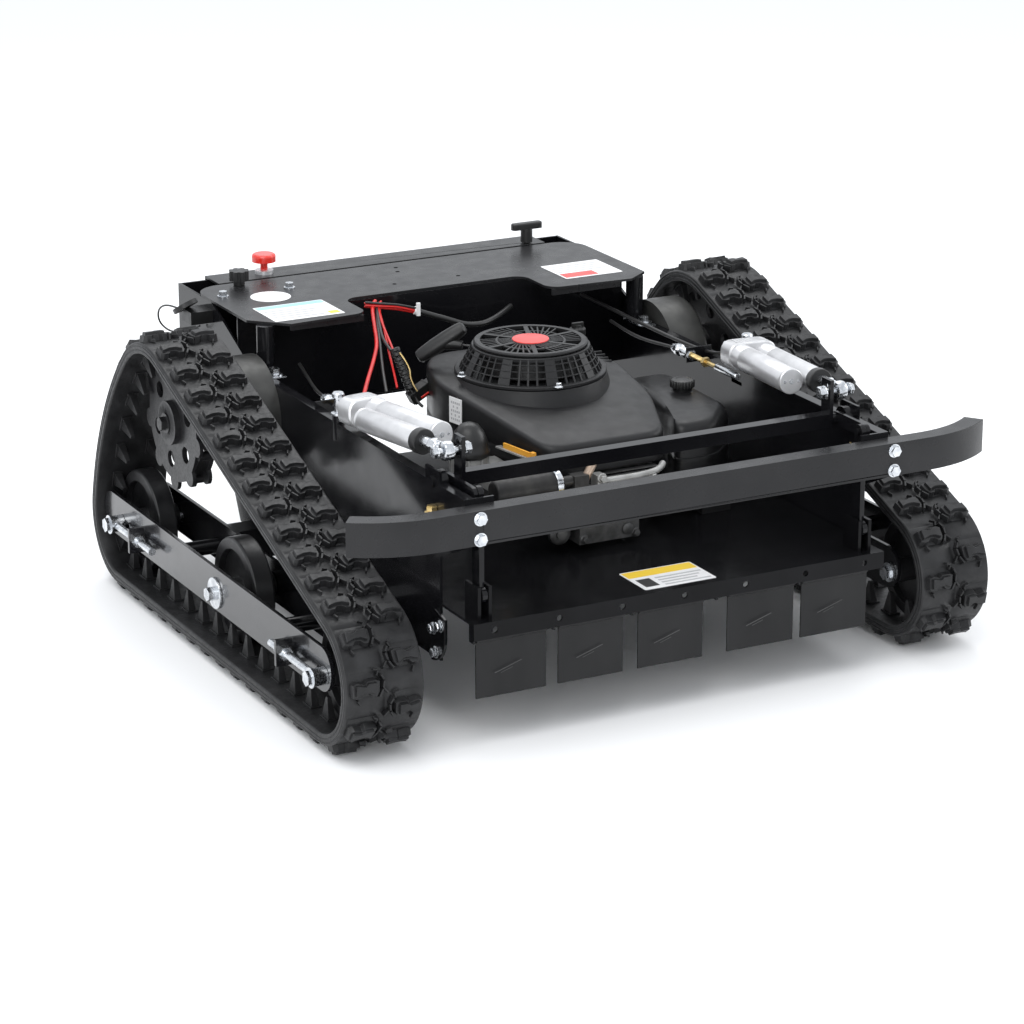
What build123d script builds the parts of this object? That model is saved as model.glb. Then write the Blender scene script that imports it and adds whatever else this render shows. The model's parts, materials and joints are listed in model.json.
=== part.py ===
from build123d import *
import math
import os

# Remote-controlled tracked mower: two rubber tracks on a welded chassis, with a petrol
# engine on a lifting mower deck between them. Millimetres, +Z up, front of the machine
# towards -Y, _right towards +X. The origin is on the ground under the middle.

# ---- overall ---------------------------------------------------------------------------
HALF_LENGTH = 529.0
HALF_WIDTH = 548.0
GAP = 0.4                 # air between a wheel and the belt that it carries
RUNNING = 0.05            # radial clearance of a turning shaft in its bore

# ---- chassis plates --------------------------------------------------------------------
PLATE = 4.0               # sheet thickness
SIDE_X = 346.0            # outer face of a side plate
RAIL_Z = 368.0            # top edge of a side plate
SIDE_LOW_Z = 108.0
SIDE_FRONT_Y = -491.0
FLANGE = 12.0             # turned-in top edge of a side plate
BAY_FRONT_Y = 295.0       # front wall of the rear bay
BAY_REAR_Y = 520.0
BAY_LOW_Z = 289.0
TOP_Z = 446.0             # top face of the top plate
WING_FRONT_Y = 195.0      # front edge of the top plate's two wings
NOTCH_X = 160.0           # half width of the notch between the wings
PLATE_REAR_Y = 465.0
STRIP_FRONT_Y = 472.0
STRIP_X = 296.0
POST_X, POST_Y, POST_R = 326.0, 222.0, 14.0
TOP_HOLES = [(0.0, 434.0), (-48.0, 340.0), (66.0, 340.0), (-9.0, 409.0)]
TOP_BOLTS = [(-322.0, 394.0), (-207.0, 395.0)]
STOP_XY = (-204.0, 501.0)
T_KNOB_XY = (267.0, 484.0)
STAR_KNOB_XY = (-270.0, 450.0)

# ---- bumper ----------------------------------------------------------------------------
BUMPER_FACE_Y = -521.0
BUMPER_DEPTH = 30.0
BUMPER_LOW_Z, BUMPER_HIGH_Z = 310.0, 360.0
BUMPER_STRAIGHT_X = 400.0
BUMPER_TIP_X = 512.0
BUMPER_SWEEP = 37.0       # how far back the ends curve
BUMPER_BOLT_X = 337.0
BUMPER_BOLT_Z = (319.0, 349.0)

# ---- tracks ----------------------------------------------------------------------------
TRACK_X = 472.0           # middle of a belt
BELT_WIDTH = 120.0
CARCASS = 18.0
LUG_HEIGHT = 14.0
WHEEL_R = 80.0            # inner surface of the belt round the wheels
SPROCKET_R = 110.0        # inner surface of the belt round the sprocket
WHEEL_Z = LUG_HEIGHT + CARCASS + WHEEL_R
FRONT_Y, MIDDLE_Y, REAR_Y = -400.0, -15.0, 358.0
SPROCKET_Y, SPROCKET_Z = 210.0, 312.0
BOW_R = 520.0             # radius of the belt's bowed rear run
PITCH_COUNT = 39          # guide lugs in each row, and tread lugs in each row
FIN_HEIGHT, FIN_LENGTH, FIN_TIP = 33.0, 24.0, 6.0
FIN_INNER, FIN_OUTER = 19.0, 32.0
LUG_LENGTH, LUG_SPAN, LUG_INSET = 26.0, 47.0, 6.0

WHEEL_HALF_WIDTH = 16.0
HUB_R = 18.0
AXLE_R = 8.0
TENSION_TRAVEL = 20.0
SPROCKET_LOBES = 9

RAIL_OUT_X, RAIL_IN_X, RAIL_T = 512.0, 420.0, 6.0
RAIL_FRONT_Y, RAIL_REAR_Y = -420.0, 435.0
RAIL_HALF_H, RAIL_MID_Z = 33.0, 117.5
BRACKET_Y = (-207.0, 171.0)
DRAW_X = RAIL_OUT_X + RAIL_T + 13      # centre line of the draw bolts beside the outer rail
DRUM_R, DRUM_X0, DRUM_X1 = 88.0, 346.0, 410.0
SHAFT_R = 12.5

# ---- mower deck and engine ------------------------------------------------------------
DECK_X = 338.0
DECK_FRONT_Y, DECK_REAR_Y = -503.0, 262.0
DECK_Z = 189.0
LIP_Z = 164.0
SKIRT_Z = 104.0
LIP_HOLES_X = [i * 101.5 for i in range(-3, 4)]
FLAP_Z = (75.0, 163.0)
FLAP_T = 3.0
HINGE_Y = DECK_FRONT_Y + 9      # hinge rod of the flaps
FLAP_SPANS = [(-331.0, -220.0), (-201.0, -96.0), (-72.0, 35.0), (76.0, 188.0), (201.0, 314.0)]
CRANK_Y = -33.0
CRANK_R = 12.5
BLADE_R, BLADE_Z = 262.0, 122.0
COWL_LOW_Z, COWL_FRONT_Z, COWL_TOP_Z = 300.0, 345.0, 391.0
WALL = 4.0
RECOIL_BASE_R, RECOIL_TOP_R, RECOIL_TOP_Z = 112.0, 86.0, 440.0
GRIP = Vector(-104.0, 62.0, 425.0)      # middle of the starter grip
GRIP_BAR = Vector(0.726, -0.381, 0.57)  # direction of its bar
PULL = Vector(-0.72, 0.69, 0.05)        # way the grip is pulled
ROPE_R, ROPE_LENGTH = 2.0, 165.0
TANK_Z = (240.0, 344.0)
FUEL_CAP_XY, FUEL_CAP_Z = (230.0, -97.0), 350.0
OIL_CAP_XY, OIL_CAP_Z = (152.0, 96.0), 396.0
MUFFLER_X, MUFFLER_Y, MUFFLER_Z, MUFFLER_R = (-205.0, -95.0), -303.0, 303.0, 18.0

# ---- lift ------------------------------------------------------------------------------
LIFT_Y, LIFT_Z = -393.0, 367.0
LIFT_BAR = 20.0
LIFT_BAR_X = 306.0
ARM = 75.0                # horizontal arm from the lift bar forward to the deck links
LINK_Y = LIFT_Y - ARM
ROD_Z = 409.0             # centre line of the lift actuators
ACTUATOR_SLANT = 7.5      # degrees, rear ends outwards
EYE_X = 323.0
LINK_LOW_Z = 222.0
LINK_X = (309.0, 317.0)   # inner and outer face of a deck link
EAR_T, EAR_GAP = 5.0, 2.0
LEAD_R = 3.0


# ---- helpers ---------------------------------------------------------------------------
def block(x0, x1, y0, y1, z0, z1):
    """A box between two corners."""
    size = (x1 - x0, y1 - y0, z1 - z0)
    return Pos((x0 + x1) / 2, (y0 + y1) / 2, (z0 + z1) / 2) * Box(*size)


def rod_x(r, x0, x1, y, z):
    """A cylinder along X."""
    return Pos((x0 + x1) / 2, y, z) * Rot(0, 90, 0) * Cylinder(r, x1 - x0)


def rod_y(r, y0, y1, x, z):
    """A cylinder along Y."""
    return Pos(x, (y0 + y1) / 2, z) * Rot(90, 0, 0) * Cylinder(r, y1 - y0)


def rod_z(r, z0, z1, x, y):
    """A cylinder along Z."""
    return Pos(x, y, (z0 + z1) / 2) * Cylinder(r, z1 - z0)


def hexagon(flats, height):
    """A hexagonal head with its base on Z = 0."""
    return extrude(RegularPolygon(flats / math.sqrt(3), 6), height)


def bolt_head(flats, height, washer_r, washer_t):
    """A flanged hexagonal head that stands up from Z = 0."""
    washer = Pos(0, 0, washer_t / 2) * Cylinder(washer_r, washer_t)
    return washer + Pos(0, 0, washer_t) * hexagon(flats, height)


def side_profile(points, x0, x1):
    """A plate of the given (Y, Z) outline between two X planes."""
    face = make_face(Plane.YZ * Polyline(*points, close=True))
    return Pos(x0, 0, 0) * extrude(face, x1 - x0, dir=(1, 0, 0))


def stadium_x(y0, y1, z, half, x0, x1):
    """A bar with round ends, thin along X."""
    middle = block(x0, x1, y0 + half, y1 - half, z - half, z + half)
    return middle + rod_x(half, x0, x1, y0 + half, z) + rod_x(half, x0, x1, y1 - half, z)


def save(name, *solids):
    """Writes one sub-part, which may be a group of separate solids."""
    pieces = [s for shape in solids for s in shape.solids()]
    export_step(pieces[0] if len(pieces) == 1 else Compound(children=pieces), f"parts/{name}.step")


def both_sides(*solids):
    """Right-hand solids together with their mirror images."""
    return [*solids, *[mirror(s, about=Plane.YZ) for s in solids]]


def save_pair(name, *solids):
    """Writes a right-hand sub-part and its mirror image on the left."""
    pair = both_sides(*solids)
    save(f"{name}_right", *pair[:len(solids)])
    save(f"{name}_left", *pair[len(solids):])


# ---- belt path -------------------------------------------------------------------------
def bow_centre():
    """Centre of the bowed run, which holds the sprocket and rear wheel circles inside it."""
    r_s, r_w = BOW_R - SPROCKET_R, BOW_R - WHEEL_R
    dy, dz = REAR_Y - SPROCKET_Y, WHEEL_Z - SPROCKET_Z
    span = math.hypot(dy, dz)
    along = (r_s**2 - r_w**2 + span**2) / (2 * span)
    off = math.sqrt(r_s**2 - along**2)
    uy, uz = dy / span, dz / span
    return SPROCKET_Y + along * uy + off * uz, SPROCKET_Z + along * uz - off * uy


def belt_path():
    """Runs of the belt's inner surface: lines (start, end) and arcs (centre, r, start, end)."""
    by, bz = bow_centre()
    rear = math.atan2(WHEEL_Z - bz, REAR_Y - by)
    top = math.atan2(SPROCKET_Z - bz, SPROCKET_Y - by)
    dy, dz = SPROCKET_Y - FRONT_Y, SPROCKET_Z - WHEEL_Z
    slope = math.atan2(dz, dy) + math.asin((SPROCKET_R - WHEEL_R) / math.hypot(dy, dz))
    crest = slope + math.pi / 2
    low = -math.pi / 2
    front, sprocket = (FRONT_Y, WHEEL_Z), (SPROCKET_Y, SPROCKET_Z)
    return [
        ("line", on_arc(front, WHEEL_R, low), on_arc((REAR_Y, WHEEL_Z), WHEEL_R, low)),
        ("arc", (REAR_Y, WHEEL_Z), WHEEL_R, low, rear),
        ("arc", (by, bz), BOW_R, rear, top),
        ("arc", sprocket, SPROCKET_R, top, crest),
        ("line", on_arc(sprocket, SPROCKET_R, crest), on_arc(front, WHEEL_R, crest)),
        ("arc", front, WHEEL_R, crest, 2 * math.pi + low),
    ]


def on_arc(centre, r, angle):
    return centre[0] + r * math.cos(angle), centre[1] + r * math.sin(angle)


def belt_face(offset):
    """The area inside the belt's inner surface, grown outwards by offset."""
    edges = []
    for kind, *run in belt_path():
        if kind == "arc":
            centre, r, a, b = run
            ends = [on_arc(centre, r + offset, t) for t in (a, (a + b) / 2, b)]
            edges.append(ThreePointArc(*ends))
        else:
            (y0, z0), (y1, z1) = run
            length = math.hypot(y1 - y0, z1 - z0)
            ny, nz = (z1 - z0) / length * offset, -(y1 - y0) / length * offset
            edges.append(Line((y0 + ny, z0 + nz), (y1 + ny, z1 + nz)))
    return make_face(Plane.YZ * Curve(children=edges))


def belt_stations(count, phase):
    """Evenly spaced places on the inner surface: (y, z, outward angle in degrees)."""
    runs = belt_path()
    lengths = [
        math.dist(run[1], run[2]) if run[0] == "line" else run[2] * (run[4] - run[3])
        for run in runs
    ]
    total = sum(lengths)
    for i in range(count):
        s = (i + phase) % count * total / count
        for run, length in zip(runs, lengths):
            if s <= length:
                break
            s -= length
        if run[0] == "line":
            (y0, z0), (y1, z1) = run[1], run[2]
            t = s / length
            angle = math.atan2(-(y1 - y0), z1 - z0)
            yield y0 + (y1 - y0) * t, z0 + (z1 - z0) * t, math.degrees(angle)
        else:
            angle = run[3] + s / run[2]
            yield *on_arc(run[1], run[2], angle), math.degrees(angle)


# ---- tracks ----------------------------------------------------------------------------
def guide_fin():
    """A pointed guide lug pointing up local Z, with its base a little below Z = 0."""
    base, tip, sink = FIN_LENGTH / 2, FIN_TIP / 2, 2.0
    outline = [(-base, -sink), (base, -sink), (tip, FIN_HEIGHT), (-tip, FIN_HEIGHT)]
    return side_profile(outline, FIN_INNER, FIN_OUTER)


def tread_lug():
    """A tread block that stands out along local -Z from the carcass's outer face."""
    base, tip, sink = LUG_LENGTH / 2, LUG_LENGTH / 2 - 5, 2.0
    outline = [(-base, sink), (base, sink), (tip, -LUG_HEIGHT), (-tip, -LUG_HEIGHT)]
    return side_profile(outline, 0, LUG_SPAN)


def track_belt():
    """A closed rubber belt: carcass, two rows of guide lugs inside, two of tread lugs."""
    x0 = TRACK_X - BELT_WIDTH / 2
    ring = extrude(belt_face(CARCASS) - belt_face(0), BELT_WIDTH, dir=(1, 0, 0))
    pieces = []
    for y, z, angle in belt_stations(PITCH_COUNT, 0.62):
        turn = Pos(TRACK_X, y, z) * Rot(angle + 90, 0, 0)
        pieces += [turn * guide_fin(), turn * mirror(guide_fin(), about=Plane.YZ)]
    outer_x = BELT_WIDTH / 2 - LUG_INSET - LUG_SPAN
    for side, phase in ((1, 0.1), (-1, 0.6)):
        for y, z, angle in belt_stations(PITCH_COUNT, phase):
            turn = Pos(TRACK_X, y, z) * Rot(angle + 90, 0, 0)
            start = outer_x if side == 1 else -outer_x - LUG_SPAN
            pieces.append(turn * Pos(start, 0, -CARCASS) * tread_lug())
    return (Pos(x0, 0, 0) * ring).fuse(*pieces)


def wheel(y):
    """A carrying wheel between the guide lugs, with a hub that reaches to both rails."""
    r, half = WHEEL_R - GAP, WHEEL_HALF_WIDTH
    rim = rod_x(r, TRACK_X - half, TRACK_X + half, y, WHEEL_Z)
    for side in (-1, 1):
        face = TRACK_X + side * half
        rim -= rod_x(r - 18, min(face, face - side * 10), max(face, face - side * 10), y, WHEEL_Z)
    hub = rod_x(HUB_R, RAIL_IN_X + RAIL_T + 1, RAIL_OUT_X - 1, y, WHEEL_Z)
    bore = rod_x(AXLE_R + RUNNING, RAIL_IN_X, RAIL_OUT_X + RAIL_T, y, WHEEL_Z)
    return fillet_rim(rim, r) + hub - bore


def fillet_rim(rim, r):
    """Rounds the two outer edges of a wheel."""
    edges = rim.edges().filter_by(GeomType.CIRCLE).filter_by(lambda e: abs(e.radius - r) < 0.01)
    return fillet(edges, 4)


def drive_sprocket():
    """A caged sprocket: two scalloped plates joined by rods, on one hub."""
    centre = Pos(TRACK_X, SPROCKET_Y, SPROCKET_Z)
    body = rod_x(34, TRACK_X - 26, TRACK_X + 26, SPROCKET_Y, SPROCKET_Z)
    lobe_r, tip_r = 15.0, SPROCKET_R - 2.5
    disc = Circle(tip_r - lobe_r)
    for i in range(SPROCKET_LOBES):
        disc += PolarLocations(tip_r - lobe_r, 1, i * 360 / SPROCKET_LOBES) * Circle(lobe_r)
    disc -= PolarLocations(62, 6, 10) * Circle(13)
    for x in (-WHEEL_HALF_WIDTH, WHEEL_HALF_WIDTH - 6):
        body += centre * Pos(x, 0, 0) * Rot(0, 90, 0) * extrude(disc, 6)
    for i in range(SPROCKET_LOBES):
        angle = math.radians(i * 360 / SPROCKET_LOBES)
        y, z = on_arc((SPROCKET_Y, SPROCKET_Z), tip_r - lobe_r, angle)
        body += rod_x(7, TRACK_X - 12, TRACK_X + 12, y, z)
    return body - rod_x(SHAFT_R, TRACK_X - 40, TRACK_X + 40, SPROCKET_Y, SPROCKET_Z)


def sprocket_shaft():
    """The drive shaft with the washer and bolt that hold the sprocket on."""
    end = TRACK_X + 26
    shaft = rod_x(SHAFT_R, DRUM_X0 + 34, end, SPROCKET_Y, SPROCKET_Z)
    head = Pos(end, SPROCKET_Y, SPROCKET_Z) * Rot(0, 90, 0) * bolt_head(19, 9, 16, 3)
    return shaft + head


def drive_motor():
    """A gear motor drum on the side plate, with a blind bore for its output shaft."""
    drum = rod_x(DRUM_R, DRUM_X0, DRUM_X1, SPROCKET_Y, SPROCKET_Z)
    outer = drum.edges().filter_by(GeomType.CIRCLE).sort_by(Axis.X)[-1]
    bore = rod_x(SHAFT_R + RUNNING, DRUM_X0 + 33, DRUM_X1 + 1, SPROCKET_Y, SPROCKET_Z)
    return fillet(outer, 7) - bore


def track_rail(x0, tabs):
    """A flat rail with round ends, an axle slot near each end and a hole for the middle bolt."""
    rail = stadium_x(RAIL_FRONT_Y, RAIL_REAR_Y, RAIL_MID_Z, RAIL_HALF_H, x0, x0 + RAIL_T)
    hole = AXLE_R + RUNNING
    for y0, y1 in axle_slots():
        rail -= stadium_x(y0 - hole, y1 + hole, WHEEL_Z, hole, x0 - 1, x0 + RAIL_T + 1)
    rail -= rod_x(AXLE_R, x0 - 1, x0 + RAIL_T + 1, MIDDLE_Y, WHEEL_Z)
    if tabs:
        for y in tab_places():
            tab = block(x0 + RAIL_T, HALF_WIDTH - 4, y - 3, y + 3, WHEEL_Z - 20, WHEEL_Z + 20)
            rail += tab - rod_y(6 + RUNNING, y - 4, y + 4, DRAW_X, WHEEL_Z)
    return rail


def axle_slots():
    return (FRONT_Y, FRONT_Y + TENSION_TRAVEL), (REAR_Y - TENSION_TRAVEL, REAR_Y)


def tab_places():
    return FRONT_Y + 112, REAR_Y - 90


def tensioner(y, inward):
    """A sliding wheel axle with its draw bolt, which points towards the middle."""
    axle = rod_x(AXLE_R, RAIL_IN_X - 0.5, HALF_WIDTH - 10, y, WHEEL_Z)
    head = Pos(HALF_WIDTH - 10, y, WHEEL_Z) * Rot(0, 90, 0) * bolt_head(20, 7, 15, 3)
    eye = rod_x(13, RAIL_OUT_X + RAIL_T + 0.5, HALF_WIDTH - 10, y, WHEEL_Z)
    start, end = sorted((y, y + inward * 155))
    draw = rod_y(6, start, end, DRAW_X, WHEEL_Z)
    inner = Pos(RAIL_IN_X - 0.5, y, WHEEL_Z) * Rot(0, -90, 0) * bolt_head(19, 8, 15, 4)
    return axle + eye + draw + head + inner


def middle_axle():
    """The bolt that carries the middle wheel, with a broad washer on the outer rail."""
    x0, x1 = RAIL_IN_X, RAIL_OUT_X + RAIL_T
    bolt = rod_x(AXLE_R, x0, x1, MIDDLE_Y, WHEEL_Z)
    head = Pos(x1, MIDDLE_Y, WHEEL_Z) * Rot(0, 90, 0) * bolt_head(19, 12, 24, 4)
    nut = Pos(x0, MIDDLE_Y, WHEEL_Z) * Rot(0, -90, 0) * bolt_head(19, 8, 15, 4)
    return bolt + head + nut


def track_brackets():
    """Box arms from the side plate to the inner rail, and spacers between the two rails."""
    inner, outer = RAIL_IN_X, RAIL_OUT_X
    z0, z1 = RAIL_MID_Z - 24, RAIL_MID_Z + 24
    arms = [block(SIDE_X, inner, y - 22, y + 22, z0, z1) for y in BRACKET_Y]
    return arms + [rod_x(12, inner + RAIL_T, outer, y, RAIL_MID_Z) for y in BRACKET_Y]


# ---- chassis ---------------------------------------------------------------------------
def frame_side():
    """The right-hand side plate: turned-in top edge, bumper flange and lift bar bearing."""
    outline = [
        (SIDE_FRONT_Y, RAIL_Z),
        (SIDE_FRONT_Y, BUMPER_LOW_Z - 12),
        (-415, BUMPER_LOW_Z - 48),
        (-415, SIDE_LOW_Z),
        (BAY_FRONT_Y - 5, SIDE_LOW_Z),
        (380, BAY_LOW_Z),
        (BAY_REAR_Y, BAY_LOW_Z),
        (BAY_REAR_Y, TOP_Z - PLATE),
        (385, TOP_Z - PLATE),
        (WING_FRONT_Y + 30, RAIL_Z),
    ]
    side = side_profile(outline, SIDE_X - PLATE, SIDE_X)
    inner = SIDE_X - PLATE - FLANGE
    side += block(inner, SIDE_X, SIDE_FRONT_Y, WING_FRONT_Y + 30, RAIL_Z - PLATE, RAIL_Z)
    side += block(300, SIDE_X, SIDE_FRONT_Y, SIDE_FRONT_Y + PLATE, BUMPER_LOW_Z - 8, RAIL_Z)
    ear = block(SIDE_X - PLATE, SIDE_X, LIFT_Y - 22, LIFT_Y + 22, LIFT_Z - 30, LIFT_Z + 20)
    side += ear + rod_x(16, SIDE_X - 18, SIDE_X, LIFT_Y, LIFT_Z)
    side -= rod_x(8 + RUNNING, SIDE_X - 30, SIDE_X + 1, LIFT_Y, LIFT_Z)
    for z in BUMPER_BOLT_Z:
        side -= rod_y(5, SIDE_FRONT_Y - 1, SIDE_FRONT_Y + PLATE + 1, BUMPER_BOLT_X, z)
    return side


def rear_bulkhead():
    """The front wall of the rear bay, with a turned-back lower edge."""
    x = SIDE_X - PLATE
    wall = block(-x, x, BAY_FRONT_Y - PLATE, BAY_FRONT_Y, BAY_LOW_Z, TOP_Z - PLATE)
    return wall + block(-x, x, BAY_FRONT_Y - 16, BAY_FRONT_Y, BAY_LOW_Z - PLATE, BAY_LOW_Z)


def bay_tray():
    """The floor and rear wall of the rear bay."""
    x = SIDE_X - PLATE
    floor = block(-x, x, BAY_FRONT_Y, BAY_REAR_Y, BAY_LOW_Z, BAY_LOW_Z + PLATE)
    return floor + block(-x, x, BAY_REAR_Y - PLATE, BAY_REAR_Y, BAY_LOW_Z, TOP_Z - PLATE)


def top_plate():
    """The plate over the rear bay, with two wings that reach forward beside a notch."""
    x, notch = SIDE_X, NOTCH_X
    outline = [
        (-x, WING_FRONT_Y + 52), (-x + 52, WING_FRONT_Y), (-notch, WING_FRONT_Y + 8),
        (-notch, BAY_FRONT_Y), (notch, BAY_FRONT_Y), (notch, WING_FRONT_Y + 8),
        (x - 40, WING_FRONT_Y), (x, WING_FRONT_Y + 30), (x, PLATE_REAR_Y), (-x, PLATE_REAR_Y),
    ]
    face = make_face(Polyline(*outline, close=True))
    rear = face.vertices().sort_by(Axis.Y)[-2:]
    face = fillet(rear, 45)
    lobes = [v for v in face.vertices() if abs(abs(v.X) - notch) < 1]
    face = fillet(lobes, 24)
    plate = Pos(0, 0, TOP_Z - PLATE) * extrude(face, PLATE)
    for px, py in TOP_HOLES:
        plate -= rod_z(3.5, TOP_Z - 10, TOP_Z + 1, px, py)
    for s in (-1, 1):
        x0, x1 = sorted((s * (notch + 6), s * (x - 56)))
        lip_z = TOP_Z - PLATE - 10
        plate += block(x0, x1, WING_FRONT_Y + 10, WING_FRONT_Y + 14, lip_z, TOP_Z - PLATE)
    return plate


def rear_strip():
    """The narrow rear strip of the top, which carries the stop switch."""
    strip = block(-STRIP_X, STRIP_X, STRIP_FRONT_Y, HALF_LENGTH, TOP_Z - PLATE, TOP_Z)
    lip = block(-STRIP_X, STRIP_X, HALF_LENGTH - PLATE, HALF_LENGTH, TOP_Z - 22, TOP_Z - PLATE)
    strip += lip
    strip -= rod_z(11 + RUNNING, TOP_Z - 10, TOP_Z + 1, *STOP_XY)
    return strip - rod_z(5 + RUNNING, TOP_Z - 10, TOP_Z + 1, *T_KNOB_XY)


def front_bumper():
    """A box tube whose two ends curve back."""
    y = BUMPER_FACE_Y + BUMPER_DEPTH / 2
    span = BUMPER_TIP_X - BUMPER_STRAIGHT_X
    radius = (span**2 + BUMPER_SWEEP**2) / (2 * BUMPER_SWEEP)
    turn = math.asin(span / radius)
    middle = (math.sin(turn / 2) * radius, radius * (1 - math.cos(turn / 2)))
    path = [Line((-BUMPER_STRAIGHT_X, y), (BUMPER_STRAIGHT_X, y))]
    for s in (-1, 1):
        start = (s * BUMPER_STRAIGHT_X, y)
        mid = (s * (BUMPER_STRAIGHT_X + middle[0]), y + middle[1])
        path.append(ThreePointArc(start, mid, (s * BUMPER_TIP_X, y + BUMPER_SWEEP)))
    height = BUMPER_HIGH_Z - BUMPER_LOW_Z
    outline = trace(path, BUMPER_DEPTH)
    bumper = Pos(0, 0, BUMPER_LOW_Z) * extrude(outline, height)
    for s in (-1, 1):
        for z in BUMPER_BOLT_Z:
            bumper -= rod_y(5, BUMPER_FACE_Y - 1, SIDE_FRONT_Y + 1, s * BUMPER_BOLT_X, z)
    return bumper


def frame_fasteners():
    """Bumper bolts, nuts of the track adjusters and the bolts of the top plate."""
    found = []
    for s in (-1, 1):
        for z in BUMPER_BOLT_Z:
            place = Pos(s * BUMPER_BOLT_X, BUMPER_FACE_Y, z) * Rot(90, 0, 0)
            shank = rod_y(5, BUMPER_FACE_Y, SIDE_FRONT_Y + PLATE, s * BUMPER_BOLT_X, z)
            found.append(shank + place * bolt_head(14, 6, 10, 2))
        for y, side in zip(tab_places(), (1, -1)):
            for offset in (-3 - 8, 3):
                nut = Pos(s * DRAW_X, y + offset, WHEEL_Z) * Rot(-90, 0, 0) * hexagon(18, 8)
                found.append(nut - rod_y(6 + RUNNING, y - 20, y + 20, s * DRAW_X, WHEEL_Z))
        found.append(Pos(s * POST_X, POST_Y - 31, RAIL_Z + 2) * bolt_head(16, 8, 13, 3))
        x0, x1 = sorted((s * (POST_X - 14), s * (POST_X + 14)))
        found.append(block(x0, x1, POST_Y - 46, POST_Y + 12, RAIL_Z, RAIL_Z + 2))
    for x, y in TOP_BOLTS:
        found.append(Pos(x, y, TOP_Z) * bolt_head(12, 7, 9, 2))
    return found


def plate_posts():
    """Round posts that hold the top plate's wings above the rails."""
    low = RAIL_Z + 2
    return [rod_z(POST_R, low, TOP_Z - PLATE, s * POST_X, POST_Y) for s in (-1, 1)]


def stop_base():
    """The round base of the stop switch, with its switch body under the strip."""
    x, y = STOP_XY
    base = rod_z(15, TOP_Z, TOP_Z + 6, x, y) + rod_z(11, TOP_Z - 34, TOP_Z, x, y)
    return base - rod_z(6 + RUNNING, TOP_Z - 18, TOP_Z + 7, x, y)


def stop_button():
    """A mushroom button with its stem."""
    x, y = STOP_XY
    stem = rod_z(6, TOP_Z - 8, TOP_Z + 22, x, y)
    cap = rod_z(19.5, TOP_Z + 20, TOP_Z + 33, x, y)
    cap = fillet(cap.edges().filter_by(GeomType.CIRCLE).sort_by(Axis.Z)[-1], 5)
    return stem + cap


def t_knob():
    """A T-shaped clamp knob with its screw."""
    x, y = T_KNOB_XY
    bar = block(x - 28, x + 28, y - 7, y + 7, TOP_Z + 24, TOP_Z + 35)
    bar = fillet(bar.edges().filter_by(Axis.Z), 6)
    bar = fillet(bar.edges().sort_by(Axis.Z)[-8:], 3)
    return bar + rod_z(10, TOP_Z + 2, TOP_Z + 25, x, y) + rod_z(5, TOP_Z - 24, TOP_Z + 4, x, y)


def star_knob():
    """A lobed clamp knob with its screw, which stands on the top plate."""
    x, y = STAR_KNOB_XY
    outline = Circle(13.5)
    outline += PolarLocations(12.5, 8) * Circle(4)
    head = Pos(x, y, TOP_Z + 8) * extrude(outline, 16)
    return head + rod_z(9, TOP_Z + 0.5, TOP_Z + 8, x, y)


def charge_socket():
    """The charging socket on the bay's left side, with its round cap on a short arm."""
    arm = block(-383, -SIDE_X, 380, 420, TOP_Z - 36, TOP_Z - 16)
    cap = Pos(-384, 400, TOP_Z - 9) * Rot(-28, -18, 0) * Cylinder(21, 7)
    return arm + cap


def bay_box():
    """The closed battery and controller box inside the rear bay."""
    box = block(-250, 250, BAY_FRONT_Y + 25, BAY_REAR_Y - 30, BAY_LOW_Z + PLATE, TOP_Z - 44)
    return fillet(box.edges().filter_by(Axis.Z), 12)


# ---- mower deck ------------------------------------------------------------------------
def deck_shell():
    """A folded deck: top, front lip with seven holes, side skirts, and ears for the links."""
    x = DECK_X
    shell = block(-x, x, DECK_FRONT_Y, DECK_REAR_Y, DECK_Z - PLATE, DECK_Z)
    shell += block(-x, x, DECK_FRONT_Y, DECK_FRONT_Y + 3, LIP_Z, DECK_Z)
    for s in (-1, 1):
        x0, x1 = sorted((s * (x - 3), s * x))
        shell += block(x0, x1, -400, DECK_REAR_Y, SKIRT_Z, DECK_Z)
    shell += block(-x, x, DECK_REAR_Y - 3, DECK_REAR_Y, SKIRT_Z + 40, DECK_Z)
    for hx in LIP_HOLES_X:
        shell -= rod_y(4.5, DECK_FRONT_Y - 1, DECK_FRONT_Y + 4, hx, (LIP_Z + DECK_Z) / 2)
    shell -= rod_z(20, DECK_Z - 10, DECK_Z + 1, 0, CRANK_Y)
    for s in (-1, 1):
        for inner in (LINK_X[0] - EAR_GAP - EAR_T, LINK_X[1] + EAR_GAP):
            x0, x1 = sorted((s * inner, s * (inner + EAR_T)))
            shell += block(x0, x1, LINK_Y - 20, LINK_Y + 20, DECK_Z, LINK_LOW_Z + 14)
    return shell


def link_pins():
    """The pins in the deck's ears, on which the lift links hang."""
    x0, x1 = LINK_X[0] - EAR_GAP, LINK_X[1] + EAR_GAP
    return [rod_x(5, *sorted((s * x0, s * x1)), LINK_Y, LINK_LOW_Z) for s in (-1, 1)]


def flap_rod():
    """The hinge rod behind the front lip, held by small ears between the flaps."""
    x, z = DECK_X - 2, FLAP_Z[1]
    rod = rod_x(3, -x, x, HINGE_Y, z)
    ears = []
    for ex in (-336, -210.5, -84, 55.5, 194.5, 336):
        ears.append(block(ex - 1.5, ex + 1.5, DECK_FRONT_Y + 3, DECK_FRONT_Y + 16, z - 4, DECK_Z - PLATE))
    return rod.fuse(*ears)


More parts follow.
